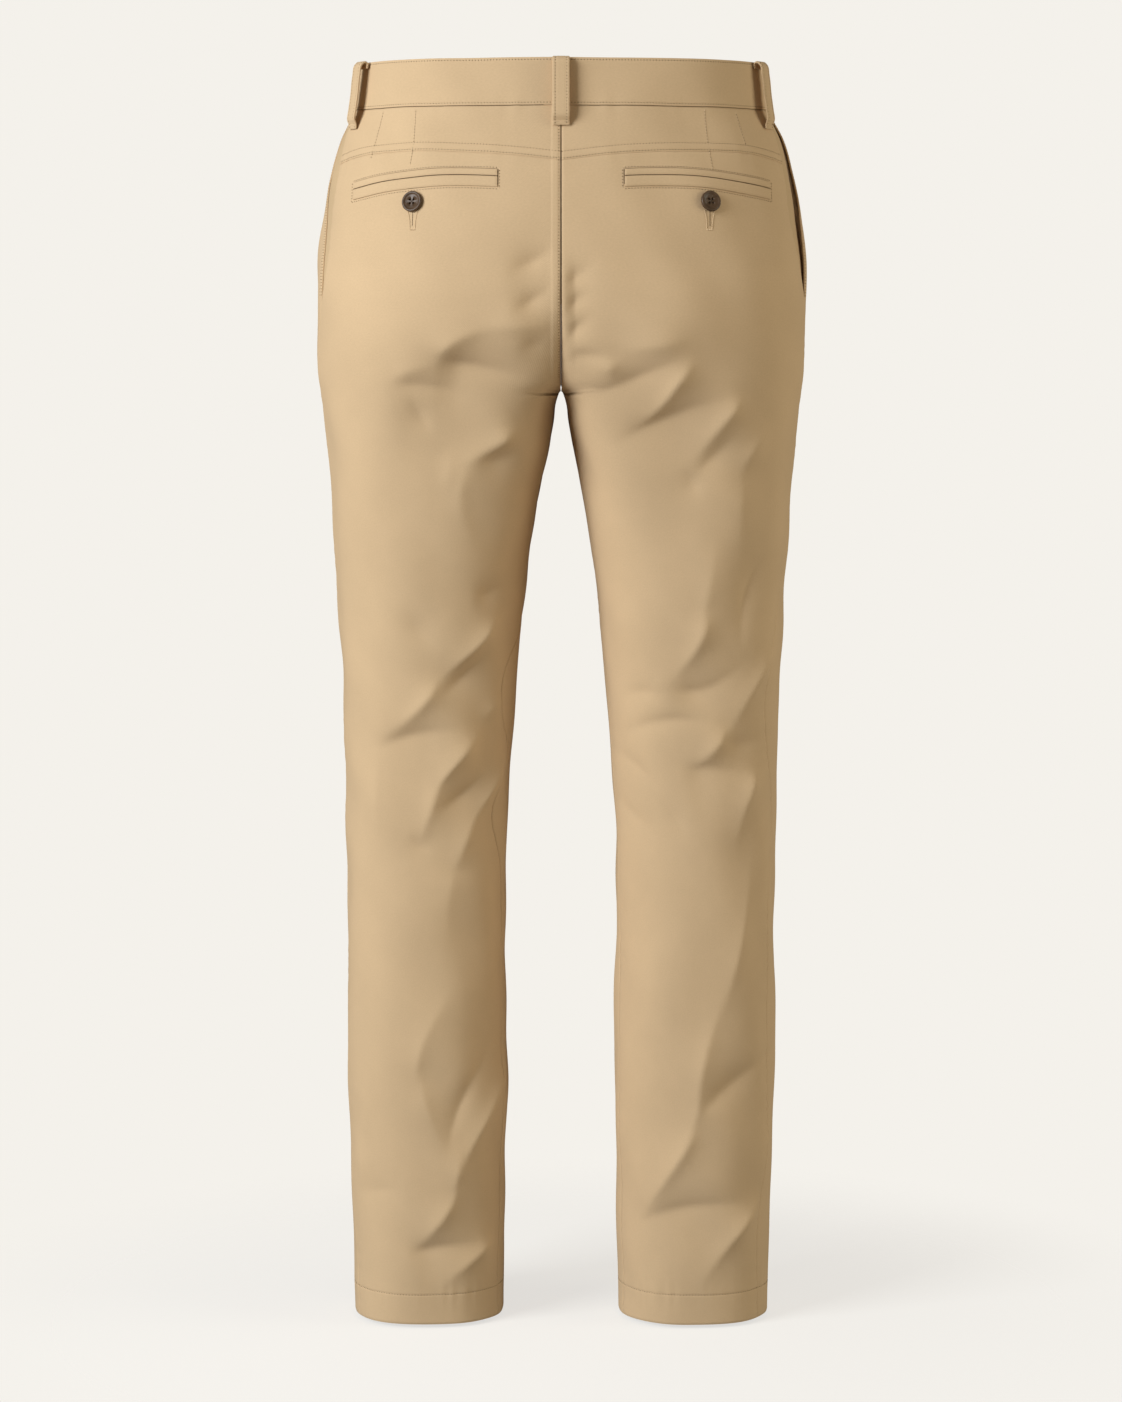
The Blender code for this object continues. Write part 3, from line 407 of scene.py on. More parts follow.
# The fly's curved line of stitches on the left front, as millimetres across and height.
FLY_LINE = ((36, -21), (36, -60), (35.5, -110), (33, -136), (26, -152), (14, -162), (2, -166))

# Belt loops: the angle of each, its width, and the path of the strip's middle as height and distance off the
# cloth. Its edges and ends are thinner, and its tack is some steps up from its foot.
LOOP_ANGLES = {
    "belt_loop_back": ("left", None),
    "belt_loop_side_left": ("left", 24),
    "belt_loop_side_right": ("right", 24),
    "belt_loop_front_left": ("left", -60),
    "belt_loop_front_right": ("right", -60),
}
LOOP_WIDTH = 13.5
LOOP_PATH = (
    # height, off the cloth
    (13.5, 2.1),
    (17.5, 2.4),
    (18.6, 4.6),
    (16.6, 7.2),
    (8, 8.2),
    (-8, 8.3),
    (-20, 8.1),
    (-27, 6.3),
    (-31, 3.0),
    (LOOP_FOOT, 1.4),
)
LOOP_STEPS = 60
LOOP_SPACING = 1.2
LOOP_THIN_EDGE = 0.5
LOOP_THIN_WIDTH = 0.9
LOOP_THIN_END = 0.35
LOOP_EDGE = 2.2
LOOP_TACK = 3
TACK_POINTS = 9
TACK_IN = 1
TACK_SINK = 0.2

# Stitches, in millimetres: how often they come along their lines, where the first begins, and their size. The
# closing stitches of buttonholes and the painted shades in the seams are close enough to run together.
Stitch = namedtuple("Stitch", "name finish pitch start length radius")
SEAM_STITCH = Stitch("stitches", "thread", 2.5, 0.3, 1.8, 0.24)
# Needle holes: dark beads of painted shade between the stitches, where the holes would be shaded.
NEEDLE_HOLE_SHADE = Stitch("needle_hole_shades", "shade", 2.5, 2.05, 0.85, 0.4)
LIP_STITCH = Stitch("buttonhole_stitches", "thread", 0.7, 0.1, 0.75, 0.55)
# Seam shades: dark beads of painted shade along the seams round the back pockets' lips, between the lips,
# under the waistband and down each buttonhole's slit.
SEAM_SHADE = Stitch("seam_shades", "shade", 2.0, 0.1, 2.5, 0.3)
BUTTON_THREAD = Stitch("button_threads", "button_thread", 2.0, 0, 2.1, 0.24)
STITCH_OUT = 0.02
SHADE_OUT = 0.2
BEAD_FACES = {"u_segments": 6, "v_segments": 4}

# How many points or steps each kind of line has.
POINTS = {"round": 400, "shade": 300, "yoke": 160, "long": 120, "mouth": 100, "fly": 80, "hole": 60,
          "dart": 40, "short": 20}

# The size each sheet was cut to, in metres and square metres, what it hangs from or lies on, and how it is
# held.
Cut = namedtuple("Cut", "width length area held on")
CUTS = {
    "waistband_left": Cut(0.490, 0.0375, 0.0181, "hung", ()),
    "waistband_right": Cut(0.469, 0.0375, 0.0173, "hung", ()),
    "back_yoke_left": Cut(0.210, 0.046, 0.0081, "hung", ("waistband_left",)),
    "back_yoke_right": Cut(0.207, 0.046, 0.0079, "hung", ("waistband_right",)),
    "back_left": Cut(0.333, 1.089, 0.202, "hung", ("back_yoke_left",)),
    "back_right": Cut(0.346, 1.056, 0.193, "hung", ("back_yoke_right",)),
    "front_left": Cut(0.382, 1.128, 0.282, "hung", ("waistband_left",)),
    "front_right": Cut(0.369, 1.094, 0.290, "hung", ("waistband_right",)),
    "pocket_facing_left": Cut(0.068, 0.181, 0.0078, "hung", ("waistband_left",)),
    "pocket_facing_right": Cut(0.068, 0.175, 0.0078, "hung", ("waistband_right",)),
    "belt_loop_back": Cut(0.0135, 0.064, 0.00085, "folded", ("waistband_left", "waistband_right")),
}
for leg in LEGS:
    CUTS[f"welt_upper_{leg}"] = Cut(0.131, 0.010, 0.0008, "laid", (f"back_{leg}",))
    CUTS[f"welt_lower_{leg}"] = Cut(0.131, 0.010, 0.0011, "laid", (f"back_{leg}",))
    for place in ("side", "front"):
        CUTS[f"belt_loop_{place}_{leg}"] = CUTS["belt_loop_back"]._replace(on=(f"waistband_{leg}",))

# Buttons, in millimetres: the radius is shared out by the profile.
BUTTON_RADIUS = 8.4
BUTTON_PROFILE = (
    # share of the radius, height above its back
    (0, 0),
    (0.9, 0),
    (0.97, 0.35),
    (1.0, 0.95),
    (1.0, 2.1),
    (0.975, 2.6),
    (0.92, 2.9),
    (0.85, 2.95),
    (0.79, 2.75),
    (0.72, 2.2),
    (0.64, 1.95),
    (0, 1.9),
)
BUTTON_STEPS = 64
BUTTON_MERGE = 0.01
BUTTON_HOLE = 0.95
BUTTON_HOLE_OUT = 1.45
BUTTON_HOLE_STEPS = 20
BUTTON_CUT = 9
BUTTON_THREAD_UP = 1.95
BUTTON_OFF = 0.5
WAIST_BUTTON_ACROSS = 10

# The zip's teeth behind the fly, in millimetres.
TOOTH_ACROSS = 2.1
TOOTH_DEPTH = 4.9
TOOTH_TOP = -30
TOOTH_FOOT = -160
TOOTH_PITCH = 2.2
TOOTH_SIZE = (2.6, 1.3, 1.5)
ZIP_FINISHES = {"zip_tape_left": "zip_tape", "zip_tape_right": "zip_tape", "zip_slider": "zip_metal"}

# The camera, and where the floor lies.
CAMERA_PLACE = (0, 3.2, -0.1809)
CAMERA_PITCH = 5.735
CAMERA_LENS = 99.46
CAMERA_SENSOR = 36
FLOOR = -1.0185
FLOOR_SIZE = 4
FLOOR_FADE = (0.2, 0.6)

# Lights round the trousers: turned from straight behind them towards the wearer's left, and raised, in
# degrees.
Light = namedtuple("Light", "name turn rise distance size power colour")
LIGHTS = (
    Light("key", 50, 20, 3.2, (1.5, 1.8), 106, (1, 1.05, 1.09)),
    Light("fill", -75, 10, 3.0, (1.5, 2.0), 37, (1, 0.97, 0.82)),
)
ROOM_COLOR = (1, 0.87, 0.69, 1)
ROOM_LIGHT = 0.21
BACKDROP_COLOR = (0.905, 0.88, 0.83, 1)
FLOOR_COLOR = (0.27, 0.264, 0.25, 1)
FLOOR_GLOW = (0.69, 0.676, 0.654, 1)

# The twill: its colours and sheen, its slanting lines, fine grain and faint clouds. The tints are how far
# each takes the colour up and down, and the scales how many fit in a metre.
# The facing is a darker copy of the cloth: painted shade for the facing inside the pocket mouth.
CLOTH_COLORS = {"cloth": (0.605, 0.432, 0.257, 1), "facing": (0.56, 0.40, 0.23, 1)}
CLOTH_ROUGHNESS = 0.9
CLOTH_SHINE = 0.12
CLOTH_SHEEN = {"Sheen_Weight": 0.08, "Sheen_Roughness": 0.5}
TWILL_PITCH = 1.1
TWILL_RELIEF = 0.25
TWILL_BUMP = (0.35, 0.25)
GRAIN_SCALE = 850
GRAIN_TINT = 0.2
CLOUD_SCALE = 17
CLOUD_TINT = 0.16

# Small pieces' finishes: how many grains fit in a metre each way, how much they change the colour, and their
# relief in millimetres.
Finish = namedtuple("Finish", "colour roughness stretch amount relief metallic")
SMALL_FINISHES = {
    "thread": Finish((0.68, 0.51, 0.32, 1), 0.7, (2500, 2500, 2500), 0.5, 0.05, 0),
    # The shade finish is the dark colour of the beads of painted shade in needle holes and seams.
    "shade": Finish((0.15, 0.09, 0.045, 1), 0.95, (900, 900, 900), 0.5, 0.05, 0),
    "button": Finish((0.085, 0.05, 0.028, 1), 0.36, (130, 130, 420), 1.1, 0.04, 0),
    "button_thread": Finish((0.07, 0.048, 0.033, 1), 0.7, (2500, 2500, 2500), 0.5, 0.05, 0),
    "zip_tape": Finish((0.45, 0.34, 0.22, 1), 0.8, (2600, 2600, 900), 0.6, 0.15, 0),
    "zip_metal": Finish((0.62, 0.48, 0.26, 1), 0.35, (300, 300, 2600), 0.4, 0.03, 1),
}
SMALL_SHINE = 0.3
SMALL_BUMP = 0.5


def smooth_step(value):
    """0 below 0, 1 above 1 and a soft rise between."""
    value = np.clip(value, 0, 1)
    return value * value * (3 - 2 * value)


def soft_run(places, values, at):
    """Values that are known at some places, as a smooth run at others."""
    slopes = np.gradient(values, places, axis=0)
    at = np.clip(at, places[0], places[-1])
    below = np.clip(np.searchsorted(places, at) - 1, 0, len(places) - 2)
    step = places[below + 1] - places[below]
    t = (at - places[below]) / step
    if values.ndim > 1:
        step, t = step[:, None], t[:, None]
    start = (1 + 2 * t) * (1 - t) ** 2 * values[below] + t * (1 - t) ** 2 * step * slopes[below]
    end = t * t * (3 - 2 * t) * values[below + 1] + t * t * (t - 1) * step * slopes[below + 1]
    return start + end


def run_of(rows, column, height):
    """One column of a table against its heights, as a smooth run, at these heights in metres."""
    table = np.array(rows, float)[::-1]
    return soft_run(table[:, 0] * MM, table[:, column], height)


def lengths_along(line):
    """How far along a line each of its points is."""
    return np.concatenate([[0], np.cumsum(np.linalg.norm(np.diff(line, axis=0), axis=1))])


def soft_path(points, steps):
    """A smooth path of even steps through points."""
    lengths = lengths_along(points)
    return soft_run(lengths, points, np.linspace(0, lengths[-1], steps + 1))


def section(height):
    """The tube at a height: its middle across, widths out and in from there, middle depth and half depth."""
    outer, middle, inner, back, front = (run_of(SECTIONS, column, height) * MM for column in range(1, 6))
    return middle, outer - middle, middle - inner, (back - front) / 2, (back + front) / 2


def squareness(outside, height):
    """How square the quarter oval is on the outer or the inner side of the tube's middle."""
    return np.where(outside, SQUARENESS, run_of(SECTIONS, 6, height))


def angle_at(across, height):
    """The angle round the leg at which the tube's back is this far from the centre plane."""
    middle, outer_width, inner_width, _, _ = section(height)
    outside = across > middle
    share = np.clip((across - middle) / np.where(outside, outer_width, inner_width), -1, 1)
    square = squareness(outside, height)
    return np.arctan2((1 - np.abs(share) ** square) ** (1 / square), share)


def oval(angle, height):
    """The shares of the tube's width and of its depth at an angle."""
    square = squareness(np.cos(angle) > 0, height)
    size = (np.abs(np.cos(angle)) ** square + np.abs(np.sin(angle)) ** square) ** (1 / square)
    return np.cos(angle) / size, np.sin(angle) / size


def side_of(leg):
    return 1 if leg == "left" else -1


def tube_point(leg, angle, height):
    """Points of the unfolded cloth. Past the centre plane it lies on the other leg's cloth."""
    middle, outer_width, inner_width, centre, depth = section(height)
    share, _ = oval(angle, height)
    across = middle + np.where(share > 0, outer_width, inner_width) * share
    turned = np.where(across < 0, np.copysign(angle_at(-across, height), angle), angle)
    _, rise = oval(turned, height)
    return np.stack([side_of(leg) * across, centre + depth * rise, height + 0 * across], axis=-1)


def outward(place, leg, angle, height):
    """Unit normals of a sheet at its points, from small steps round and down it."""
    drop = NORMAL_DROP * MM
    round_it = place(leg, angle + NORMAL_TURN, height) - place(leg, angle - NORMAL_TURN, height)
    down_it = place(leg, angle, height - drop) - place(leg, angle, height + drop)
    normal = np.cross(down_it, round_it) * side_of(leg)
    return normal / np.linalg.norm(normal, axis=-1, keepdims=True)


def fold_line(leg, fold):
    """The fold's run on the unfolded cloth."""
    start, middle, end = (np.array(point, float) for point in (fold.start, fold.middle, fold.end))
    along = np.linspace(0, 1, FOLD_STEPS + 1)[:, None]
    pull = 2 * middle - (start + end) / 2
    route = (1 - along) ** 2 * start + 2 * along * (1 - along) * pull + along**2 * end
    return tube_point(leg, np.radians(route[:, 0]), route[:, 1] * MM)


FOLD_LINES = {
    leg: [(fold, fold_line(leg, fold)) for fold in (Fold(*row) for row in rows)]
    for leg, rows in zip(LEGS, (LEFT_FOLDS, RIGHT_FOLDS))
}


def fold_lift(leg, points):
    """How far the folds move the cloth out at these points of the unfolded sheet."""
    lift = np.zeros(points.shape[:-1])
    for fold, line in FOLD_LINES[leg]:
        reach = FOLD_REACH * max(fold.upper, fold.lower) * MM
        low, high = line.min(axis=0) - reach, line.max(axis=0) + reach
        near = ((points > low) & (points < high)).all(axis=-1)
        if not near.any():
            continue
        runs = line[1:] - line[:-1]
        offset = points[near][:, None, :] - line[None, :-1, :]
        share = np.clip((offset * runs).sum(axis=-1) / (runs * runs).sum(axis=-1), 0, 1)
        offset = offset - share[..., None] * runs
        distance = np.linalg.norm(offset, axis=-1)
        nearest = distance.min(axis=-1)
        weight = np.exp((nearest[:, None] - distance) / (FOLD_BLEND * MM))
        weight /= weight.sum(axis=-1, keepdims=True)
        travelled = (weight * (np.arange(len(runs)) + share)).sum(axis=-1) / len(runs)
        rise = (weight * offset[..., 2]).sum(axis=-1) / np.maximum(nearest, FOLD_CREST * MM)
        spread = (fold.lower + (fold.upper - fold.lower) * smooth_step(0.5 + rise)) * MM
        taper = smooth_step(np.minimum(travelled / fold.peak, (1 - travelled) / (1 - fold.peak)))
        nearest = np.hypot(nearest, FOLD_EDGE * MM) - FOLD_EDGE * MM
        lift[near] += FOLD_SWELL * fold.depth * MM * taper * np.exp(-nearest / spread)
    return lift


def cleft(points, angle):
    """How far the centre seam draws the cloth in, forwards at the back and backwards in front."""
    low = smooth_step((CLEFT_TOP * MM - points[..., 2]) / ((CLEFT_TOP - CROTCH) * MM))
    return CLEFT_DEPTH * MM * low * np.sin(angle) * np.exp(-np.abs(points[..., 0]) / (CLEFT_WIDTH * MM))


def make_ripples():
    """Directions, lengths and starts of the sheet's faint waves."""
    chance = np.random.default_rng(RIPPLE_SEED)
    ways = chance.normal(size=(RIPPLE_COUNT, 3))
    ways /= np.linalg.norm(ways, axis=1, keepdims=True)
    lengths = chance.uniform(*RIPPLE_LENGTHS, size=(RIPPLE_COUNT, 1)) * MM
    return 2 * math.pi * ways / lengths, chance.uniform(0, 2 * math.pi, RIPPLE_COUNT)


RIPPLE_WAYS, RIPPLE_STARTS = make_ripples()


def ripple_lift(points):
    lift = np.zeros(points.shape[:-1])
    for way, start in zip(RIPPLE_WAYS, RIPPLE_STARTS):
        lift += np.sin(points @ way + start)
    return lift * RIPPLE_HEIGHT * MM


def side_seam(leg, height):
    return np.radians(run_of(SIDE_SEAM[leg], 1, height))


def inseam(leg, height):
    return np.radians(run_of(INSEAM[leg], 1, height))


def gap_angle():
    """Half a seam's gap, as an angle round a leg."""
    return SEAM_GAP / 2 / LEG_RADIUS


def back_end(leg, height):
    """Where a back piece ends: the centre back seam, and the inseam below the crotch."""
    centre = angle_at(SEAM_GAP / 2 * MM, height)
    return np.where(height > CROTCH * MM, centre, inseam(leg, height) - gap_angle())


def front_end(leg, height):
    """Where a front ends: the inseam, and above the crotch the centre front, which the left one laps over."""
    edge = np.full_like(height, SEAM_GAP / 2 * MM)
    if leg == "left":
        lap = smooth_step((height / MM - POCKET_FOOT) / (FLY_FOOT - POCKET_FOOT))
        edge = edge - (FLY_LAP + SEAM_GAP / 2) * MM * lap
    centre = angle_at(edge, height)
    return -np.where(height > CROTCH * MM, centre, 2 * np.pi - inseam(leg, height) - gap_angle())


def column_angle(start, end, height, across):
    """The angles at shares across a leg panel between its two ends."""
    top, foot = COLUMN_TURN[0][0] * MM, COLUMN_TURN[-1][0] * MM
    turn = np.copysign(np.radians(run_of(COLUMN_TURN, 1, height)), end)
    even = np.where((height < top) & (height > foot), turn, end)
    knee = start + (even - start) * EVEN_COLUMNS
    last = (across - EVEN_COLUMNS) / (1 - EVEN_COLUMNS)
    return np.where(last > 0, knee + (end - knee) * last, start + (even - start) * across)


def mouth_share(height):
    """How far up a side pocket's mouth a height is, from its foot to the waistband."""
    return np.clip((height / MM - POCKET_FOOT) / (-BAND_HALF - POCKET_FOOT), 0, 1)


def mouth_angle(leg, height):
    """The slanted mouth of a side pocket, which runs forward from the side seam."""
    return side_seam(leg, height) - math.radians(MOUTH_SLANT) * mouth_share(height)


def yoke_seam(share):
    """The height of the yoke's lower edge, from the side seam at 0 to the centre back at 1."""
    return (YOKE_MIDDLE - YOKE_DROP * (2 * share - 1) ** 2) * MM


def yoke_ends(leg, shape):
    """The angles of the side seam and the centre back at the yoke, one for each point."""
    level = np.full(shape, YOKE_MIDDLE * MM)
    return side_seam(leg, level), back_end(leg, level)


def yoke_seam_at(leg, angle):
    """The height of the yoke's lower edge at an angle round the leg."""
    start, end = yoke_ends(leg, np.shape(angle))
    return yoke_seam(np.clip((angle - start) / (end - start), 0, 1))


def puckers(along, away):
    """Small uneven waves across a seam, along it and away from it in metres."""
    turn = 2 * np.pi * along / (PUCKER_LENGTH * MM)
    for far, rate in PUCKER_WANDER:
        turn = turn + far * np.sin(along * rate)
    least, more, rate = PUCKER_SWELL
    swell = least + more * np.sin(along * rate)
    return PUCKER_HEIGHT * MM * np.sin(turn) * swell * np.exp(-np.abs(away) / (PUCKER_REACH * MM))


def pucker_lift(leg, points, angle, height):
    """The puckers beside every seam of the leg."""
    round_it = angle * LEG_RADIUS * MM
    from_side = (angle - side_seam(leg, height)) * LEG_RADIUS * MM
    from_inseam = ((angle - inseam(leg, height) + np.pi) % (2 * np.pi) - np.pi) * LEG_RADIUS * MM
    at_inseam = puckers(height + INSEAM_START, from_inseam)
    at_centre = puckers(height + CENTRE_START, points[..., 0])
    at_yoke = puckers(round_it * YOKE_CLOSER + YOKE_START, height - yoke_seam_at(leg, angle))
    lift = puckers(height, from_side)
    lift += np.where(height < CROTCH * MM, at_inseam, at_centre)
    lift += puckers(round_it * BAND_CLOSER, height + BAND_HALF * MM)
    lift += puckers(round_it, height - HEM_STITCH * MM)
    return lift + np.where(np.sin(angle) > 0, at_yoke, 0)


def sheet_point(leg, angle, height):
    """Points of the folded cloth."""
    flat = tube_point(leg, angle, height)
    fade = smooth_step(np.abs(flat[..., 0]) / (PLANE_FADE * MM))
    lift = fold_lift(leg, flat) * fade + ripple_lift(flat) + pucker_lift(leg, flat, angle, height)
    move = outward(tube_point, leg, angle, height) * lift[..., None]
    move[..., 0] *= fade
    move[..., 1] -= cleft(flat, angle)
    return flat + move


def face(leg, angle, height):
    """Points of the folded cloth and its normals there."""
    angle = np.asarray(angle, float)
    height = np.asarray(height, float) + 0 * angle
    return sheet_point(leg, angle, height), outward(sheet_point, leg, angle, height)


def lifted(leg, point, normal, lift):
    """Points this far off the folded cloth. Those on their own side of the centre plane stay there."""
    side = side_of(leg)
    own_side = point[..., 0] * side > -PLANE_SLACK * MM
    moved = point + normal * (np.asarray(lift) + 0 * point[..., 0])[..., None]
    kept = np.maximum(moved[..., 0] * side, SEAM_GAP / 2 * MM) * side
    moved[..., 0] = np.where(own_side, kept, moved[..., 0])
    return moved


def spaced(length, spacing, at=()):
    """Shares of a length, even but closer at both ends and round the given places, all in millimetres.

    A place below 0 is counted back from the far end.
    """
    places = [place if place >= 0 else length + place for place in (0, length, *at)]
    extra = np.concatenate([place + np.array(CLOSE_STEPS) for place in places])
    extra = np.unique(np.round(extra[(extra >= 0) & (extra <= length)], 2))
    extra = extra[np.concatenate([[True], np.diff(extra) > LEAST_STEP])]
    even = np.linspace(0, length, int(length / spacing) + 1)
    even = even[np.abs(even[:, None] - extra).min(axis=1) > EVEN_ROOM * spacing]
    return np.sort(np.concatenate([even, extra])) / length


def groove(away):
    """How far a line of stitches pulls the cloth down, by the distance from it in metres."""
    return -GROOVE_DEPTH * MM * np.exp(-((away / (GROOVE_WIDTH * MM)) ** 2))


def lap_lift(leg, angle, height, raise_mm):
    """How far the left side is lifted to lap over the right one at the centre front."""
    if leg == "right":
        return 0 * angle
    across = tube_point(leg, angle, height)[..., 0] / MM
    near = smooth_step((LAP_BLEND_FROM - across) / (LAP_BLEND_FROM - LAP_BLEND_TO))
    high = smooth_step((height / MM - FLY_BLEND_FOOT) / (POCKET_FOOT - FLY_BLEND_FOOT))
    return raise_mm * MM * near * high * (np.sin(angle) < 0)


def fell_lift(leg, angle, height):
    """The felled centre back seam: the left side's folded edge lies over it."""
    if leg == "right":
        return 0 * angle
    across = tube_point(leg, angle, height)[..., 0] / MM
    above = smooth_step((height / MM - CROTCH) / FELL_FADE) * (np.sin(angle) > 0)
    fold = FELL_RAISE * MM * smooth_step((FELL_WIDTH + FELL_STEP / 2 - across) / FELL_STEP)
    return above * (fold + groove((across - FELL_STITCH) * MM))


def yoke_lift(leg, angle, height):
    """The yoke's own felled seam, with a line of stitches above and below it."""
    above = height - yoke_seam_at(leg, angle)
    fold = YOKE_RAISE * MM * smooth_step((YOKE_FELL + YOKE_STEP / 2 - above / MM) / YOKE_STEP)
    stitches = groove(above - YOKE_FELL * MM) + groove(above - YOKE_STITCH * MM)
    return fell_lift(leg, angle, height) + fold + stitches


def back_lift(leg, angle, height):
    return fell_lift(leg, angle, height) + groove(height - HEM_STITCH * MM)


def front_lift(leg, angle, height):
    """The fronts: the gaping pocket mouth, its stitches and the lap of the fly."""
    share = mouth_share(height)
    from_mouth = mouth_angle(leg, height) - angle
    spread = math.radians(MOUTH_SPREAD)
    mouth = MOUTH_RAISE[leg] * MM * np.sin(np.pi * share) * np.exp(-((from_mouth / spread) ** 2))
    lift = mouth + lap_lift(leg, angle, height, FLY_RAISE) + groove(height - HEM_STITCH * MM)
    for stitch in MOUTH_STITCHES:
        lift = lift + np.where(share > 0, groove(from_mouth * MOUTH_RADIUS * MM - stitch * MM), 0)
    return lift


def band_lift(leg, angle, height):
    edge = (BAND_HALF - BAND_STITCH) * MM
    stitches = groove(height - edge) + groove(height + edge)
    return BAND_PROUD * MM + lap_lift(leg, angle, height, BAND_RAISE) + stitches


FINISHES = {}


def placed(name, data):
    """A new object in the scene."""
    made = bpy.data.objects.new(name, data)
    bpy.context.scene.collection.objects.link(made)
    return made


def add_object(name, mesh, material, angle=50):
    """A named object that rides on the trousers, smooth but for its sharp edges."""
    mesh.shade_smooth()
    mesh.set_sharp_from_angle(angle=math.radians(angle))
    mesh.materials.append(FINISHES[material])
    made = placed(name, mesh)
    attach(made, "root")
    return made


def mesh_of(name, shape):
    """A mesh from a bmesh, with its faces outwards."""
    bmesh.ops.recalc_face_normals(shape, faces=shape.faces)
    mesh = bpy.data.meshes.new(name)
    shape.to_mesh(mesh)
    shape.free()
    return mesh


def volume_of(mesh, points):
    """The signed volume inside a closed mesh."""
    mesh.calc_loop_triangles()
    corners = np.zeros(len(mesh.loop_triangles) * 3, int)
    mesh.loop_triangles.foreach_get("vertices", corners)
    a, b, c = points[corners.reshape(-1, 3)].transpose(1, 0, 2)
    return (a * np.cross(b, c)).sum() / 6


def wall(name, outer, inner, weave, material):
    """A closed wall between two grids of points, with each point's place along the weave in metres."""
    rows, columns = outer.shape[:2]
    grid = bmesh.new()
    bmesh.ops.create_grid(grid, x_segments=columns - 1, y_segments=rows - 1, size=0.5)
    made = bmesh.ops.extrude_face_region(grid, geom=grid.faces[:])
    below = [part for part in made["geom"] if isinstance(part, bmesh.types.BMVert)]
    bmesh.ops.translate(grid, verts=below, vec=(0, 0, -1))
    mesh = mesh_of(name, grid)
    flat = np.zeros(len(mesh.vertices) * 3)
    mesh.vertices.foreach_get("co", flat)
    flat = flat.reshape(-1, 3)
    column = np.rint((flat[:, 0] + 0.5) * (columns - 1)).astype(int)
    row = np.rint((flat[:, 1] + 0.5) * (rows - 1)).astype(int)
    points = np.where(flat[:, 2:] < -0.5, inner[row, column], outer[row, column])
    mesh.vertices.foreach_set("co", points.ravel())
    if volume_of(mesh, points) < 0:
        mesh.flip_normals()
    corner = np.zeros(len(mesh.loops), int)
    mesh.loops.foreach_get("vertex_index", corner)
    layer = mesh.uv_layers.new(name="weave")
    layer.data.foreach_set("uv", weave[row, column][corner].ravel())
    mesh.update()
    return add_object(name, mesh, material)


def sheet_of(name, made):
    """Hide the solid that a piece of cloth stands for."""
    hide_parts(name)


def cloth_wall(piece, leg, spot, across_at=(), up_at=(), material="cloth"):
    """A wall of cloth. spot gives the angle, height, lift and thickness at shares across and up it."""
    across, up = (spaced(*sizes, at) for sizes, at in zip(GRIDS[piece], (across_at, up_at)))
    angle, height, lift, thickness = spot(*np.meshgrid(across, up))
    point, normal = face(leg, angle, height)
    edges = (point[:, :1], point[:, -1:], point[:1], point[-1:])
    edge = np.min([np.linalg.norm(point - line, axis=-1) for line in edges], axis=0)
    roll = ROLL_DEPTH * MM * (1 - smooth_step(edge / (ROLL_WIDTH * MM)))
    outer = lifted(leg, point, normal, lift - roll)
    inner = lifted(leg, point, normal, lift - thickness)
    weave = np.stack([angle * LEG_RADIUS * MM, height], axis=-1)
    name = f"{piece}_{leg}"
    sheet_of(name, wall(name, outer, inner, weave, material))


def hem_thickness(height):
    """A leg panel's wall is twice as thick where the hem is turned up."""
    return np.where(height < HEM_STITCH * MM, HEM_CLOTH, CLOTH) * MM


def make_back(leg):
    top = (YOKE_MIDDLE - SEAM_GAP / 2) * MM

    def spot(across, up):
        height = HEM * MM + (top - HEM * MM) * up
        fade = np.clip(1 - (top - height) / (YOKE_FADE * MM), 0, 1)
        height = height + (yoke_seam(across) - YOKE_MIDDLE * MM) * fade
        start = side_seam(leg, height) + gap_angle()
        angle = column_angle(start, back_end(leg, height), height, across)
        return angle, height, back_lift(leg, angle, height), hem_thickness(height)

    cloth_wall("back", leg, spot, (-FELL_STITCH, -FELL_WIDTH), (HEM_STITCH - HEM,))


def make_yoke(leg):
    top = -(BAND_HALF + SEAM_GAP / 2) * MM

    def spot(across, up):
        foot = yoke_seam(across) + SEAM_GAP / 2 * MM
        height = foot + (top - foot) * up
        start = side_seam(leg, height) + gap_angle()
        angle = start + (back_end(leg, height) - start) * across
        return angle, height, yoke_lift(leg, angle, height), CLOTH * MM

    cloth_wall("back_yoke", leg, spot, (-FELL_STITCH, -FELL_WIDTH), (YOKE_FELL, YOKE_STITCH))


def make_front(leg):
    top = -(BAND_HALF + SEAM_GAP / 2) * MM

    def spot(across, up):
        height = HEM * MM + (top - HEM * MM) * up
        start = mouth_angle(leg, height) - gap_angle()
        angle = column_angle(start, front_end(leg, height), height, across)
        return angle, height, front_lift(leg, angle, height), hem_thickness(height)

    cloth_wall("front", leg, spot, MOUTH_STITCHES, (HEM_STITCH - HEM,))


def make_pocket_facing(leg):
    """The cloth behind a side pocket's mouth, under the edges of the front and the back."""
    top = -(BAND_HALF + SEAM_GAP) * MM
    foot = (POCKET_FOOT - FACING_BELOW_MOUTH) * MM

    def spot(across, up):
        height = foot + (top - foot) * up
        start = side_seam(leg, height) + math.radians(FACING_UNDER_BACK)
        end = mouth_angle(leg, height) - math.radians(FACING_UNDER_FRONT)
        angle = start + (end - start) * across
        return angle, height, -FACING_DEPTH[leg] * MM, FACING_CLOTH * MM

    # Its darker facing colour is painted shade inside the pocket mouth.
    cloth_wall("pocket_facing", leg, spot, material="facing")


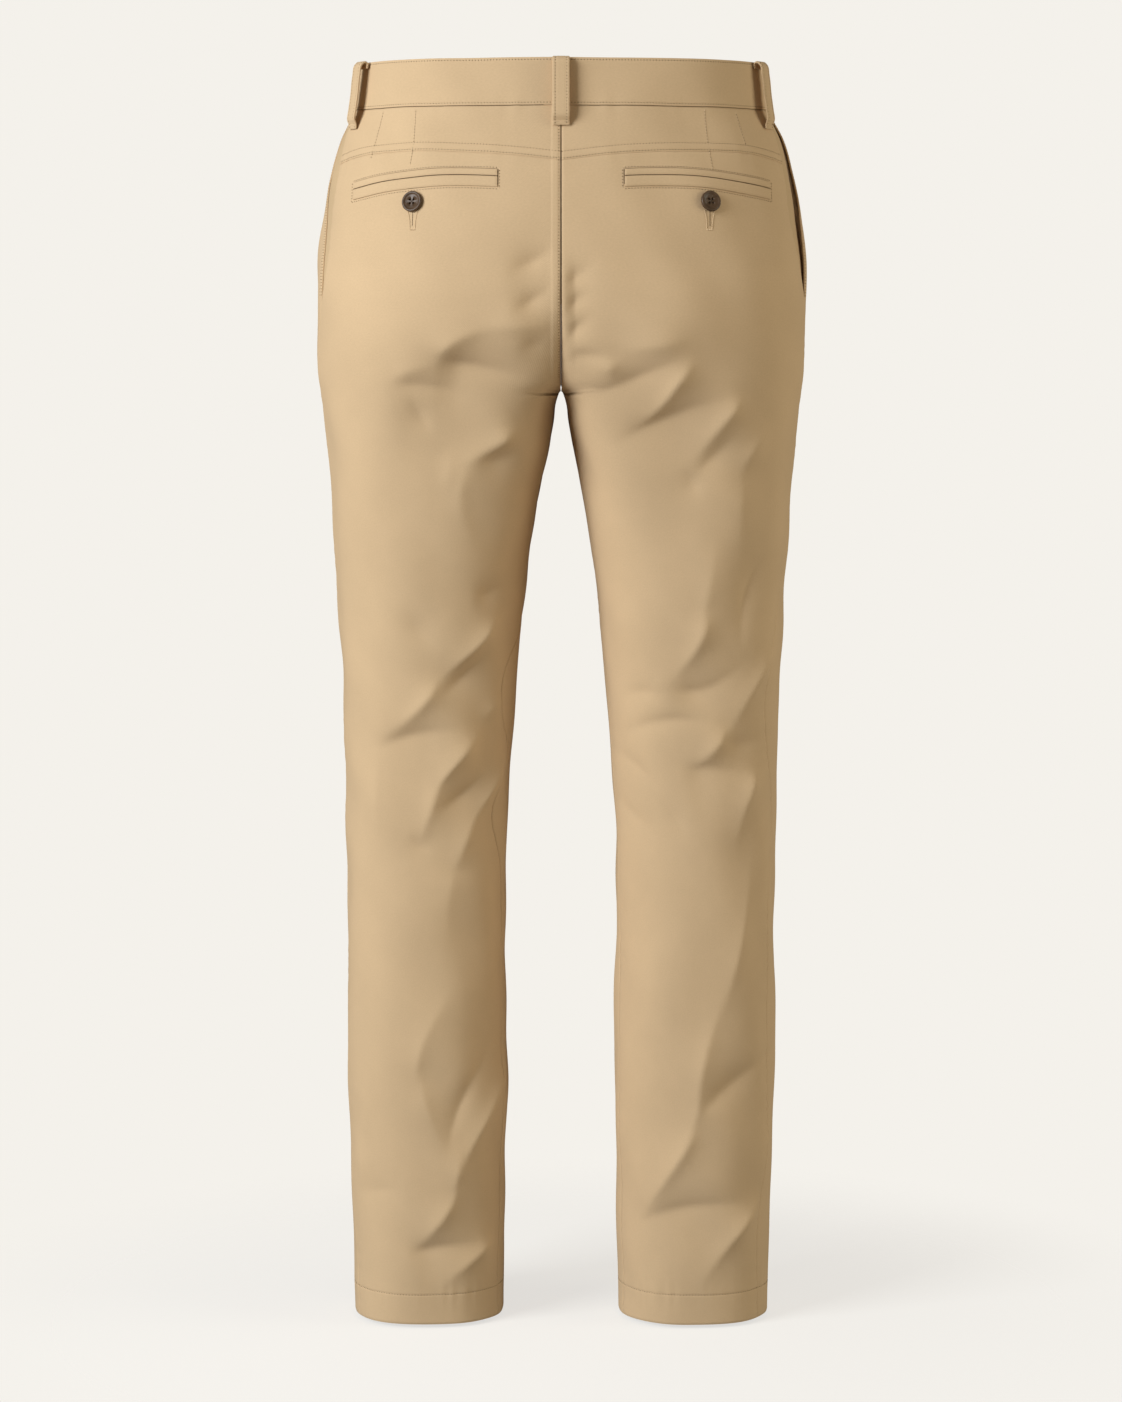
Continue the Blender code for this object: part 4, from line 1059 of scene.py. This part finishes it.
def make_waistband(leg):
    half = (BAND_HALF - SEAM_GAP / 2) * MM
    front = -BAND_LAP if leg == "left" else SEAM_GAP / 2

    def spot(across, up):
        height = half * (2 * up - 1)
        start = angle_at(SEAM_GAP / 2 * MM, height)
        round_end = -angle_at(BAND_FLAT * MM, height)
        share = (across - BAND_ROUND) / (1 - BAND_ROUND)
        flat_end = -angle_at((BAND_FLAT + (front - BAND_FLAT) * np.maximum(share, 0)) * MM, height)
        angle = np.where(share > 0, flat_end, start + (round_end - start) * across / BAND_ROUND)
        return angle, height, band_lift(leg, angle, height), BAND_CLOTH * MM

    cloth_wall("waistband", leg, spot, up_at=(BAND_STITCH, -BAND_STITCH))


def welt_spot(across, drop):
    """Angle and height on a back pocket, by its share across and the millimetres below its top edge."""
    out = WELT_FROM + (WELT_TO - WELT_FROM) * across
    crest = WELT_TOP - WELT_SAG * ((out - WELT_CREST) / (WELT_TO - WELT_CREST)) ** 2
    height = (crest - drop) * MM
    return angle_at(out * MM, height), height


def make_welt(leg, piece, top_drop, foot_drop):
    """One lip of a back pocket, laid on the back panel."""

    def spot(across, up):
        angle, height = welt_spot(across, foot_drop + (top_drop - foot_drop) * up)
        return angle, height, (LAY_GAP + WELT_CLOTH) * MM, WELT_CLOTH * MM

    cloth_wall(piece, leg, spot)


def loop_frame(leg, angle, heights):
    """The cloth's middle line under a belt loop, and the ways across it and out of it."""
    if angle is None:
        middle = tube_point(leg, angle_at(0 * MM, heights), heights)
        out = np.array([0.0, 1.0, 0.0])
    else:
        middle = tube_point(leg, np.full_like(heights, math.radians(angle)), heights)
        out = outward(tube_point, leg, np.array([math.radians(angle)]), np.array([0.0]))[0] * (1, 1, 0)
        out /= np.linalg.norm(out)
    return middle, np.cross((0, 0, 1), out), out


def make_belt_loop(name, leg, angle, rows, bars):
    """A folded strip sewn down at both ends and standing off the waistband between them."""
    heights, lifts = np.array(LOOP_PATH).T * MM
    middle, across, out = loop_frame(leg, angle, heights)
    path = soft_path(middle + out * lifts[:, None], LOOP_STEPS)
    ways = np.gradient(path, axis=0)
    face_out = np.cross(across, ways)
    face_out /= np.linalg.norm(face_out, axis=1, keepdims=True)
    face_out *= np.sign(face_out[LOOP_STEPS // 2] @ out)
    half = LOOP_WIDTH / 2
    shares = spaced(LOOP_WIDTH, LOOP_SPACING) * LOOP_WIDTH - half
    from_edge = half - np.abs(shares)
    edge = LOOP_THIN_EDGE * (1 - smooth_step(from_edge / LOOP_THIN_WIDTH))
    thick = LOOP_CLOTH / 2 - edge + groove((from_edge - LOOP_EDGE) * MM) / MM
    steps = np.arange(len(path))
    taper = 1 - LOOP_THIN_END * (np.minimum(steps, steps[::-1]) < 1)
    centre = path[:, None, :] + across * (shares * MM)[None, :, None]
    rise = face_out[:, None, :] * (thick * MM)[None, :, None] * taper[:, None, None]
    weave = np.stack(np.meshgrid(shares * MM, steps * MM), axis=-1)
    sheet_of(name, wall(name, centre + rise, centre - rise, weave, "cloth"))
    sunk = path + face_out * (LOOP_CLOTH / 2 - GROOVE_DEPTH) * MM
    for side in (-1, 1):
        rows.append((sunk + across * (side * (half - LOOP_EDGE) * MM), face_out))
    tack = np.linspace(-1, 1, TACK_POINTS)[:, None] * across * (half - TACK_IN) * MM
    up = face_out[-1 - LOOP_TACK]
    line = path[-1 - LOOP_TACK] + tack + up * (LOOP_CLOTH / 2 - TACK_SINK) * MM
    bars.append((line, np.tile(up, (TACK_POINTS, 1))))


def cloth_row(rows, leg, angle, height, lift):
    """A line of stitches on the cloth. lift gives how far the piece under it is off the sheet."""
    angle = np.asarray(angle, float)
    height = np.asarray(height, float) + 0 * angle
    point, normal = face(leg, angle, height)
    under = lift(leg, angle, height) if callable(lift) else lift
    rows.append((lifted(leg, point, normal, under + STITCH_OUT * MM), normal))


def table_line(points, steps):
    """Points across and in height, in metres, along a smooth line through a table of them."""
    return soft_path(np.array(points, float) * MM, steps).T


def pocket_rows(rows, leg, out, foot, levels, lift):
    """Lines round a back pocket, this far out from it: along it at some levels, and down its ends."""
    share = out / (WELT_TO - WELT_FROM)
    along = np.linspace(-share, 1 + share, POINTS["long"])
    drops = np.linspace(-out, foot, POINTS["short"])
    for drop in levels:
        cloth_row(rows, leg, *welt_spot(along, drop), lift)
    for end in (-share, 1 + share):
        cloth_row(rows, leg, *welt_spot(end, drops), lift)


def cloth_rows(leg):
    """Every line of stitches on a leg's cloth."""
    rows = []
    share = np.linspace(0, 1, POINTS["yoke"])
    start, end = yoke_ends(leg, share.shape)
    for above in (YOKE_STITCH, YOKE_FELL):
        cloth_row(rows, leg, start + (end - start) * share, yoke_seam(share) + above * MM, yoke_lift)
    edge = (BAND_HALF - BAND_STITCH) * MM
    front = LAP_LINE_IN - BAND_LAP if leg == "left" else LINE_IN
    for height in (edge, -edge):
        start, end = angle_at(LINE_IN * MM, height), -angle_at(front * MM, height)
        cloth_row(rows, leg, np.linspace(start, end, POINTS["round"]), height, band_lift)
    round_leg = inseam(leg, HEM_STITCH * MM) - np.linspace(0, 2 * np.pi, POINTS["round"])
    cloth_row(rows, leg, round_leg, HEM_STITCH * MM, -GROOVE_DEPTH * MM)
    if leg == "left":
        heights = np.linspace(LINE_TOP, CROTCH + FELL_FADE, POINTS["long"]) * MM
        cloth_row(rows, leg, angle_at(FELL_STITCH * MM, heights), heights, fell_lift)
        across, heights = table_line(FLY_LINE, POINTS["fly"])
        cloth_row(rows, leg, -angle_at(across, heights), heights, front_lift)
    heights = np.linspace(LINE_TOP, POCKET_FOOT + MOUTH_LINE_IN, POINTS["mouth"]) * MM
    for stitch in MOUTH_STITCHES:
        cloth_row(rows, leg, mouth_angle(leg, heights) - stitch / MOUTH_RADIUS, heights, front_lift)
    for dart in DARTS[leg]:
        across, heights = table_line(dart, POINTS["dart"])
        cloth_row(rows, leg, angle_at(across, heights), heights, back_lift)
    foot = WELT_HEIGHT + WELT_FRAME
    pocket_rows(rows, leg, WELT_FRAME, foot, (-WELT_FRAME, foot), back_lift)
    return rows


def seam_shades(leg):
    """The deep lines round a back pocket's lips and between them, and under the waistband's proud edge,
    drawn as dark beads of painted shade.
    """
    rows = []
    height = (-BAND_HALF - SEAM_GAP) * MM
    end = angle_at(LOOP_WIDTH * MM, height)
    cloth_row(rows, leg, np.linspace(end, -end, POINTS["shade"]), height, SHADE_OUT * MM)
    pocket_rows(rows, leg, WELT_EDGE, WELT_HEIGHT, (-WELT_EDGE,), LAY_GAP * MM)
    share = WELT_EDGE / (WELT_TO - WELT_FROM)
    mouth = welt_spot(np.linspace(-share, 1 + share, POINTS["long"]), WELT_UPPER + WELT_MOUTH / 2)
    cloth_row(rows, leg, *mouth, (LAY_GAP + WELT_CLOTH / 2) * MM)
    return rows


def hole_row(rows, leg, button, points, lift, turn=1):
    """One line of a buttonhole, from points round its button. It is on the front where turn is -1."""
    across, height = table_line([(button[0] + x, button[1] + z) for x, z in points], POINTS["hole"])
    cloth_row(rows, leg, turn * angle_at(across, height), height, lift)


def buttonholes():
    """The closing stitches of the buttonholes, and a line down each slit for its dark beads of
    painted shade.
    """
    lips, slit_shades = [], []
    for leg in LEGS:
        for side in (-1, 1):
            hole_row(lips, leg, BACK_BUTTON, [(side * x, z) for x, z in BACK_LIP], back_lift)
        hole_row(lips, leg, BACK_BUTTON, BACK_BAR, back_lift)
        hole_row(slit_shades, leg, BACK_BUTTON, BACK_SLIT, back_lift)
    waist = (-WAIST_BUTTON_ACROSS, 0)
    for side in (-1, 1):
        hole_row(lips, "left", waist, [(x, side * z) for x, z in WAIST_LIP], band_lift, -1)
    hole_row(lips, "left", waist, WAIST_BAR, band_lift, -1)
    hole_row(slit_shades, "left", waist, WAIST_SLIT, band_lift, -1)
    return lips, slit_shades


def make_stitches(kind, rows):
    """Lines of short stitches, each a long bead laid along its line. Needle holes and seam shades are
    laid the same way, as dark beads of painted shade.
    """
    shape = bmesh.new()
    for line, normal in rows:
        row = bmesh.new()
        lengths = lengths_along(line) / MM
        starts = np.arange(kind.start, max(lengths[-1] - kind.length, kind.start + 0.01), kind.pitch)
        for start in starts:
            ends = ((start, line), (start + kind.length, line), (start, normal))
            first, last, up = (Vector([np.interp(at, lengths, values[:, axis]) for axis in range(3)])
                               for at, values in ends)
            way = last - first
            side = up.cross(way).normalized()
            turn = Matrix((up * kind.radius * MM, side * kind.radius * MM, way / 2)).transposed().to_4x4()
            place = Matrix.Translation((first + last) / 2) @ turn
            bmesh.ops.create_uvsphere(row, **BEAD_FACES, radius=1, matrix=place)
        part = mesh_of("row", row)
        shape.from_mesh(part)
        bpy.data.meshes.remove(part)
    add_object(kind.name, mesh_of(kind.name, shape), kind.finish)


def frame_at(leg, angle, height, lift):
    """A frame standing on the cloth: X across, Y up along it, Z out."""
    point, normal = face(leg, np.array([float(angle)]), np.array([float(height)]))
    point = Vector(lifted(leg, point, normal, lift)[0])
    normal = Vector(normal[0])
    up = (Vector((0, 0, 1)) - normal * normal.z).normalized()
    turn = Matrix((up.cross(normal), up, normal)).transposed().to_4x4()
    return Matrix.Translation(point) @ turn


def cut(part, shape):
    """Cut a shape from a part for good."""
    cutter = placed("cutter", shape)
    cutting = part.modifiers.new("cut", "BOOLEAN")
    cutting.operation = "DIFFERENCE"
    cutting.object = cutter
    result = bpy.data.meshes.new_from_object(part.evaluated_get(bpy.context.evaluated_depsgraph_get()))
    part.modifiers.remove(cutting)
    bpy.data.objects.remove(cutter)
    part.data = result


def make_button(name, leg, angle, height, lift):
    """A turned button with a raised rim and four holes. Gives the lines of the thread that holds it."""
    set_on = frame_at(leg, angle, height, lift)
    shape = bmesh.new()
    outline = [shape.verts.new((share * BUTTON_RADIUS * MM, 0, up * MM)) for share, up in BUTTON_PROFILE]
    edges = [shape.edges.new(pair) for pair in zip(outline, outline[1:])]
    bmesh.ops.spin(shape, geom=outline + edges, cent=(0, 0, 0), axis=(0, 0, 1), angle=2 * math.pi,
                   steps=BUTTON_STEPS, use_merge=True)
    bmesh.ops.remove_doubles(shape, verts=shape.verts, dist=BUTTON_MERGE * MM)
    bmesh.ops.transform(shape, matrix=set_on, verts=shape.verts)
    button = add_object(name, mesh_of(name, shape), "button", angle=70)
    holes = bmesh.new()
    radius = BUTTON_HOLE * MM
    out = BUTTON_HOLE_OUT * MM
    corners = [(x * out, y * out) for x, y in ((-1, -1), (1, -1), (1, 1), (-1, 1))]
    for x, y in corners:
        place = set_on @ Matrix.Translation((x, y, 0))
        bmesh.ops.create_cone(holes, cap_ends=True, segments=BUTTON_HOLE_STEPS, radius1=radius,
                              radius2=radius, depth=BUTTON_CUT * MM, matrix=place)
    cut(button, mesh_of(f"{name}_holes", holes))
    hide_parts(name)
    rows = []
    for pair in (corners[::2], corners[1::2]):
        ends = [set_on @ Vector((*corner, BUTTON_THREAD_UP * MM)) for corner in pair]
        rows.append((np.array(ends), np.array([set_on.to_3x3().col[2]] * 2)))
    return rows


def make_zip_teeth():
    """Two rows of teeth on the inner edges of the tapes, the left ones half a tooth lower."""
    shape = bmesh.new()
    across = TOOTH_ACROSS * MM
    for top in np.arange(TOOTH_TOP, TOOTH_FOOT, -TOOTH_PITCH) * MM:
        for leg in LEGS:
            height = top - (TOOTH_PITCH / 2 if leg == "left" else 0) * MM
            place = frame_at(leg, -angle_at(across, height), height, -TOOTH_DEPTH * MM)
            tooth = bmesh.ops.create_cube(shape, size=1)
            bmesh.ops.scale(shape, verts=tooth["verts"], vec=Vector(TOOTH_SIZE) * MM)
            bmesh.ops.transform(shape, matrix=place, verts=tooth["verts"])
    add_object("zip_teeth", mesh_of("zip_teeth", shape), "zip_metal")


def fill(tree, node, **inputs):
    """Fill a node's sockets: a space in a name is an underscore, and a number follows "at"."""
    for name, value in inputs.items():
        key = int(name[2:]) if name.startswith("at") else name.replace("_", " ")
        if isinstance(value, bpy.types.NodeSocket):
            tree.links.new(value, node.inputs[key])
        else:
            node.inputs[key].default_value = value


def add_node(tree, kind, operation=None, **inputs):
    made = tree.nodes.new(kind)
    if operation:
        made.operation = operation
    fill(tree, made, **inputs)
    return made


def add_math(tree, operation, first, second=0.0):
    return add_node(tree, "ShaderNodeMath", operation, at0=first, at1=second).outputs[0]


def new_group(name, **sockets):
    """A node group that takes the given sockets and puts out a colour and a height."""
    tree = bpy.data.node_groups.new(name, "ShaderNodeTree")
    for title, kind in sockets.items():
        tree.interface.new_socket(title, in_out="INPUT", socket_type=f"NodeSocket{kind}")
    for title, kind in (("Color", "Color"), ("Height", "Float")):
        tree.interface.new_socket(title, in_out="OUTPUT", socket_type=f"NodeSocket{kind}")
    return tree, tree.nodes.new("NodeGroupInput").outputs, tree.nodes.new("NodeGroupOutput")


def give(tree, given, colour, share, height):
    """Put out a colour made lighter or darker by a share, and a height."""
    scaled = add_node(tree, "ShaderNodeVectorMath", "SCALE", at0=colour, Scale=share)
    fill(tree, given, Color=scaled.outputs["Vector"], Height=height)


def make_twill():
    """A node group: the tint and relief of cotton twill, from its weave coordinates in metres."""
    tree, taken, given = new_group("twill", Place="Vector", Color="Color")
    place = taken["Place"]
    split = add_node(tree, "ShaderNodeSeparateXYZ", Vector=place)
    slant = add_math(tree, "ADD", split.outputs[0], split.outputs[1])
    lines = add_math(tree, "SINE", add_math(tree, "MULTIPLY", slant, 2 * math.pi / (TWILL_PITCH * MM)))
    grain, cloud = (add_node(tree, "ShaderNodeTexNoise", Vector=place, Scale=scale, Detail=detail,
                             Roughness=0.6).outputs["Fac"]
                    for scale, detail in ((GRAIN_SCALE, 3), (CLOUD_SCALE, 4)))
    relief = add_math(tree, "ADD", add_math(tree, "MULTIPLY", lines, TWILL_RELIEF), grain)
    tint = add_math(tree, "ADD", add_math(tree, "MULTIPLY", grain, GRAIN_TINT),
                    add_math(tree, "MULTIPLY", cloud, CLOUD_TINT))
    tint = add_math(tree, "ADD", tint, 1 - (GRAIN_TINT + CLOUD_TINT) / 2)
    give(tree, given, taken["Color"], tint, relief)
    return tree


def make_grain():
    """A node group: uneven colour and relief. Stretch is how many grains fit in a metre each way."""
    tree, taken, given = new_group("grain", Color="Color", Stretch="Vector", Amount="Float")
    place = add_node(tree, "ShaderNodeTexCoord").outputs["Object"]
    stretched = add_node(tree, "ShaderNodeVectorMath", "MULTIPLY", at0=place, at1=taken["Stretch"])
    grain = add_node(tree, "ShaderNodeTexNoise", Vector=stretched.outputs["Vector"], Scale=1, Detail=4)
    away = add_math(tree, "SUBTRACT", grain.outputs["Fac"], 0.5)
    share = add_math(tree, "ADD", add_math(tree, "MULTIPLY", away, taken["Amount"]), 1)
    give(tree, given, taken["Color"], share, grain.outputs["Fac"])
    return tree


def make_material(name, colour, roughness, shine, **inputs):
    made = bpy.data.materials.new(f"{name}_look")
    FINISHES[name] = made
    made.use_nodes = True
    tree = made.node_tree
    shader = tree.nodes["Principled BSDF"]
    fill(tree, shader, Base_Color=colour, Roughness=roughness, Specular_IOR_Level=shine, **inputs)
    return tree, shader


def add_pattern(tree, shader, group, strength, relief, **inputs):
    """Colour and relief from a node group, the relief in millimetres."""
    pattern = tree.nodes.new("ShaderNodeGroup")
    pattern.node_tree = group
    fill(tree, pattern, **inputs)
    height = pattern.outputs["Height"]
    bump = add_node(tree, "ShaderNodeBump", Height=height, Strength=strength, Distance=relief * MM)
    fill(tree, shader, Base_Color=pattern.outputs["Color"], Normal=bump.outputs["Normal"])


def make_materials():
    twill, grain = make_twill(), make_grain()
    for name, colour in CLOTH_COLORS.items():
        tree, shader = make_material(name, colour, CLOTH_ROUGHNESS, CLOTH_SHINE, **CLOTH_SHEEN)
        weave = tree.nodes.new("ShaderNodeUVMap")
        weave.uv_map = "weave"
        add_pattern(tree, shader, twill, *TWILL_BUMP, Color=colour, Place=weave.outputs["UV"])
    for name, look in SMALL_FINISHES.items():
        tree, shader = make_material(name, look.colour, look.roughness, SMALL_SHINE, Metallic=look.metallic)
        add_pattern(tree, shader, grain, SMALL_BUMP, look.relief, Color=look.colour, Stretch=look.stretch,
                    Amount=look.amount)


def make_floor():
    """A pale floor that fades into the backdrop round the trousers and takes only their shadow."""
    shape = bmesh.new()
    bmesh.ops.create_grid(shape, x_segments=1, y_segments=1, size=FLOOR_SIZE / 2)
    bmesh.ops.translate(shape, verts=shape.verts, vec=(0, 0, FLOOR))
    mesh = mesh_of("floor", shape)
    tree, shader = make_material("floor", FLOOR_COLOR, 1, 0, Emission_Color=FLOOR_GLOW)
    seen = tree.nodes.new("ShaderNodeLightPath")
    place = tree.nodes.new("ShaderNodeTexCoord")
    away = add_node(tree, "ShaderNodeVectorMath", "LENGTH", at0=place.outputs["Object"])
    near, far = (math.hypot(size, FLOOR) for size in FLOOR_FADE)
    fade = tree.nodes.new("ShaderNodeMapRange")
    fade.interpolation_type = "SMOOTHSTEP"
    fill(tree, fade, Value=away.outputs["Value"], From_Min=near, From_Max=far, To_Min=1, To_Max=0)
    fill(tree, shader, Emission_Strength=seen.outputs["Is Camera Ray"], Alpha=fade.outputs["Result"])
    mesh.materials.append(FINISHES["floor"])
    placed("floor", mesh)


def make_light(light):
    """A soft light panel that faces the middle of the trousers."""
    lamp = bpy.data.lights.new(light.name, "AREA")
    lamp.shape = "RECTANGLE"
    lamp.size, lamp.size_y = light.size
    lamp.energy = light.power
    lamp.color = light.colour
    turn, rise = math.radians(light.turn), math.radians(light.rise)
    way = Vector((math.sin(turn) * math.cos(rise), math.cos(turn) * math.cos(rise), math.sin(rise)))
    made = placed(light.name, lamp)
    made.location = Vector((0, 0, (BAND_HALF + HEM) / 2 * MM)) + way * light.distance
    made.rotation_euler = way.to_track_quat("Z", "Y").to_euler()


def make_world():
    """An even pale backdrop that lights the cloth less than it shows."""
    world = bpy.data.worlds.new("studio")
    bpy.context.scene.world = world
    world.use_nodes = True
    tree = world.node_tree
    shown = tree.nodes["Background"]
    fill(tree, shown, Color=BACKDROP_COLOR)
    lighting = add_node(tree, "ShaderNodeBackground", Color=ROOM_COLOR, Strength=ROOM_LIGHT)
    seen = tree.nodes.new("ShaderNodeLightPath")
    mix = add_node(tree, "ShaderNodeMixShader", at0=seen.outputs["Is Camera Ray"], at1=lighting.outputs[0],
                   at2=shown.outputs[0])
    fill(tree, tree.nodes["World Output"], Surface=mix.outputs[0])


def make_studio():
    make_world()
    make_floor()
    for light in LIGHTS:
        make_light(light)
    camera = placed("camera", bpy.data.cameras.new("camera"))
    camera.data.lens = CAMERA_LENS
    camera.data.sensor_width = CAMERA_SENSOR
    camera.location = CAMERA_PLACE
    camera.rotation_euler = (math.radians(90 - CAMERA_PITCH), 0, math.radians(180))
    bpy.context.scene.camera = camera
    bpy.context.scene.view_settings.view_transform = "Standard"


def make_trousers():
    lips, shades = buttonholes()
    rows, threads = [], []
    for leg in LEGS:
        make_back(leg)
        make_yoke(leg)
        make_front(leg)
        make_pocket_facing(leg)
        make_waistband(leg)
        make_welt(leg, "welt_upper", 0, WELT_UPPER)
        make_welt(leg, "welt_lower", WELT_UPPER + WELT_MOUTH, WELT_HEIGHT)
        across, height = (size * MM for size in BACK_BUTTON)
        threads += make_button(f"back_button_{leg}", leg, angle_at(across, height), height, BUTTON_OFF * MM)
        rows += cloth_rows(leg)
        shades += seam_shades(leg)
    for name, (leg, angle) in LOOP_ANGLES.items():
        make_belt_loop(name, leg, angle, rows, lips)
    angle = -float(angle_at(WAIST_BUTTON_ACROSS * MM, 0.0))
    threads += make_button("waist_button", "right", angle, 0.0, (BAND_PROUD + BAND_RAISE + BUTTON_OFF) * MM)
    for kind, lines in ((SEAM_STITCH, rows), (NEEDLE_HOLE_SHADE, rows), (LIP_STITCH, lips), (SEAM_SHADE, shades),
                        (BUTTON_THREAD, threads)):
        make_stitches(kind, lines)
    make_zip_teeth()
    for name, finish in ZIP_FINISHES.items():
        frame["nodes"][name].material_slots[0].material = FINISHES[finish]


make_materials()
make_trousers()
make_studio()
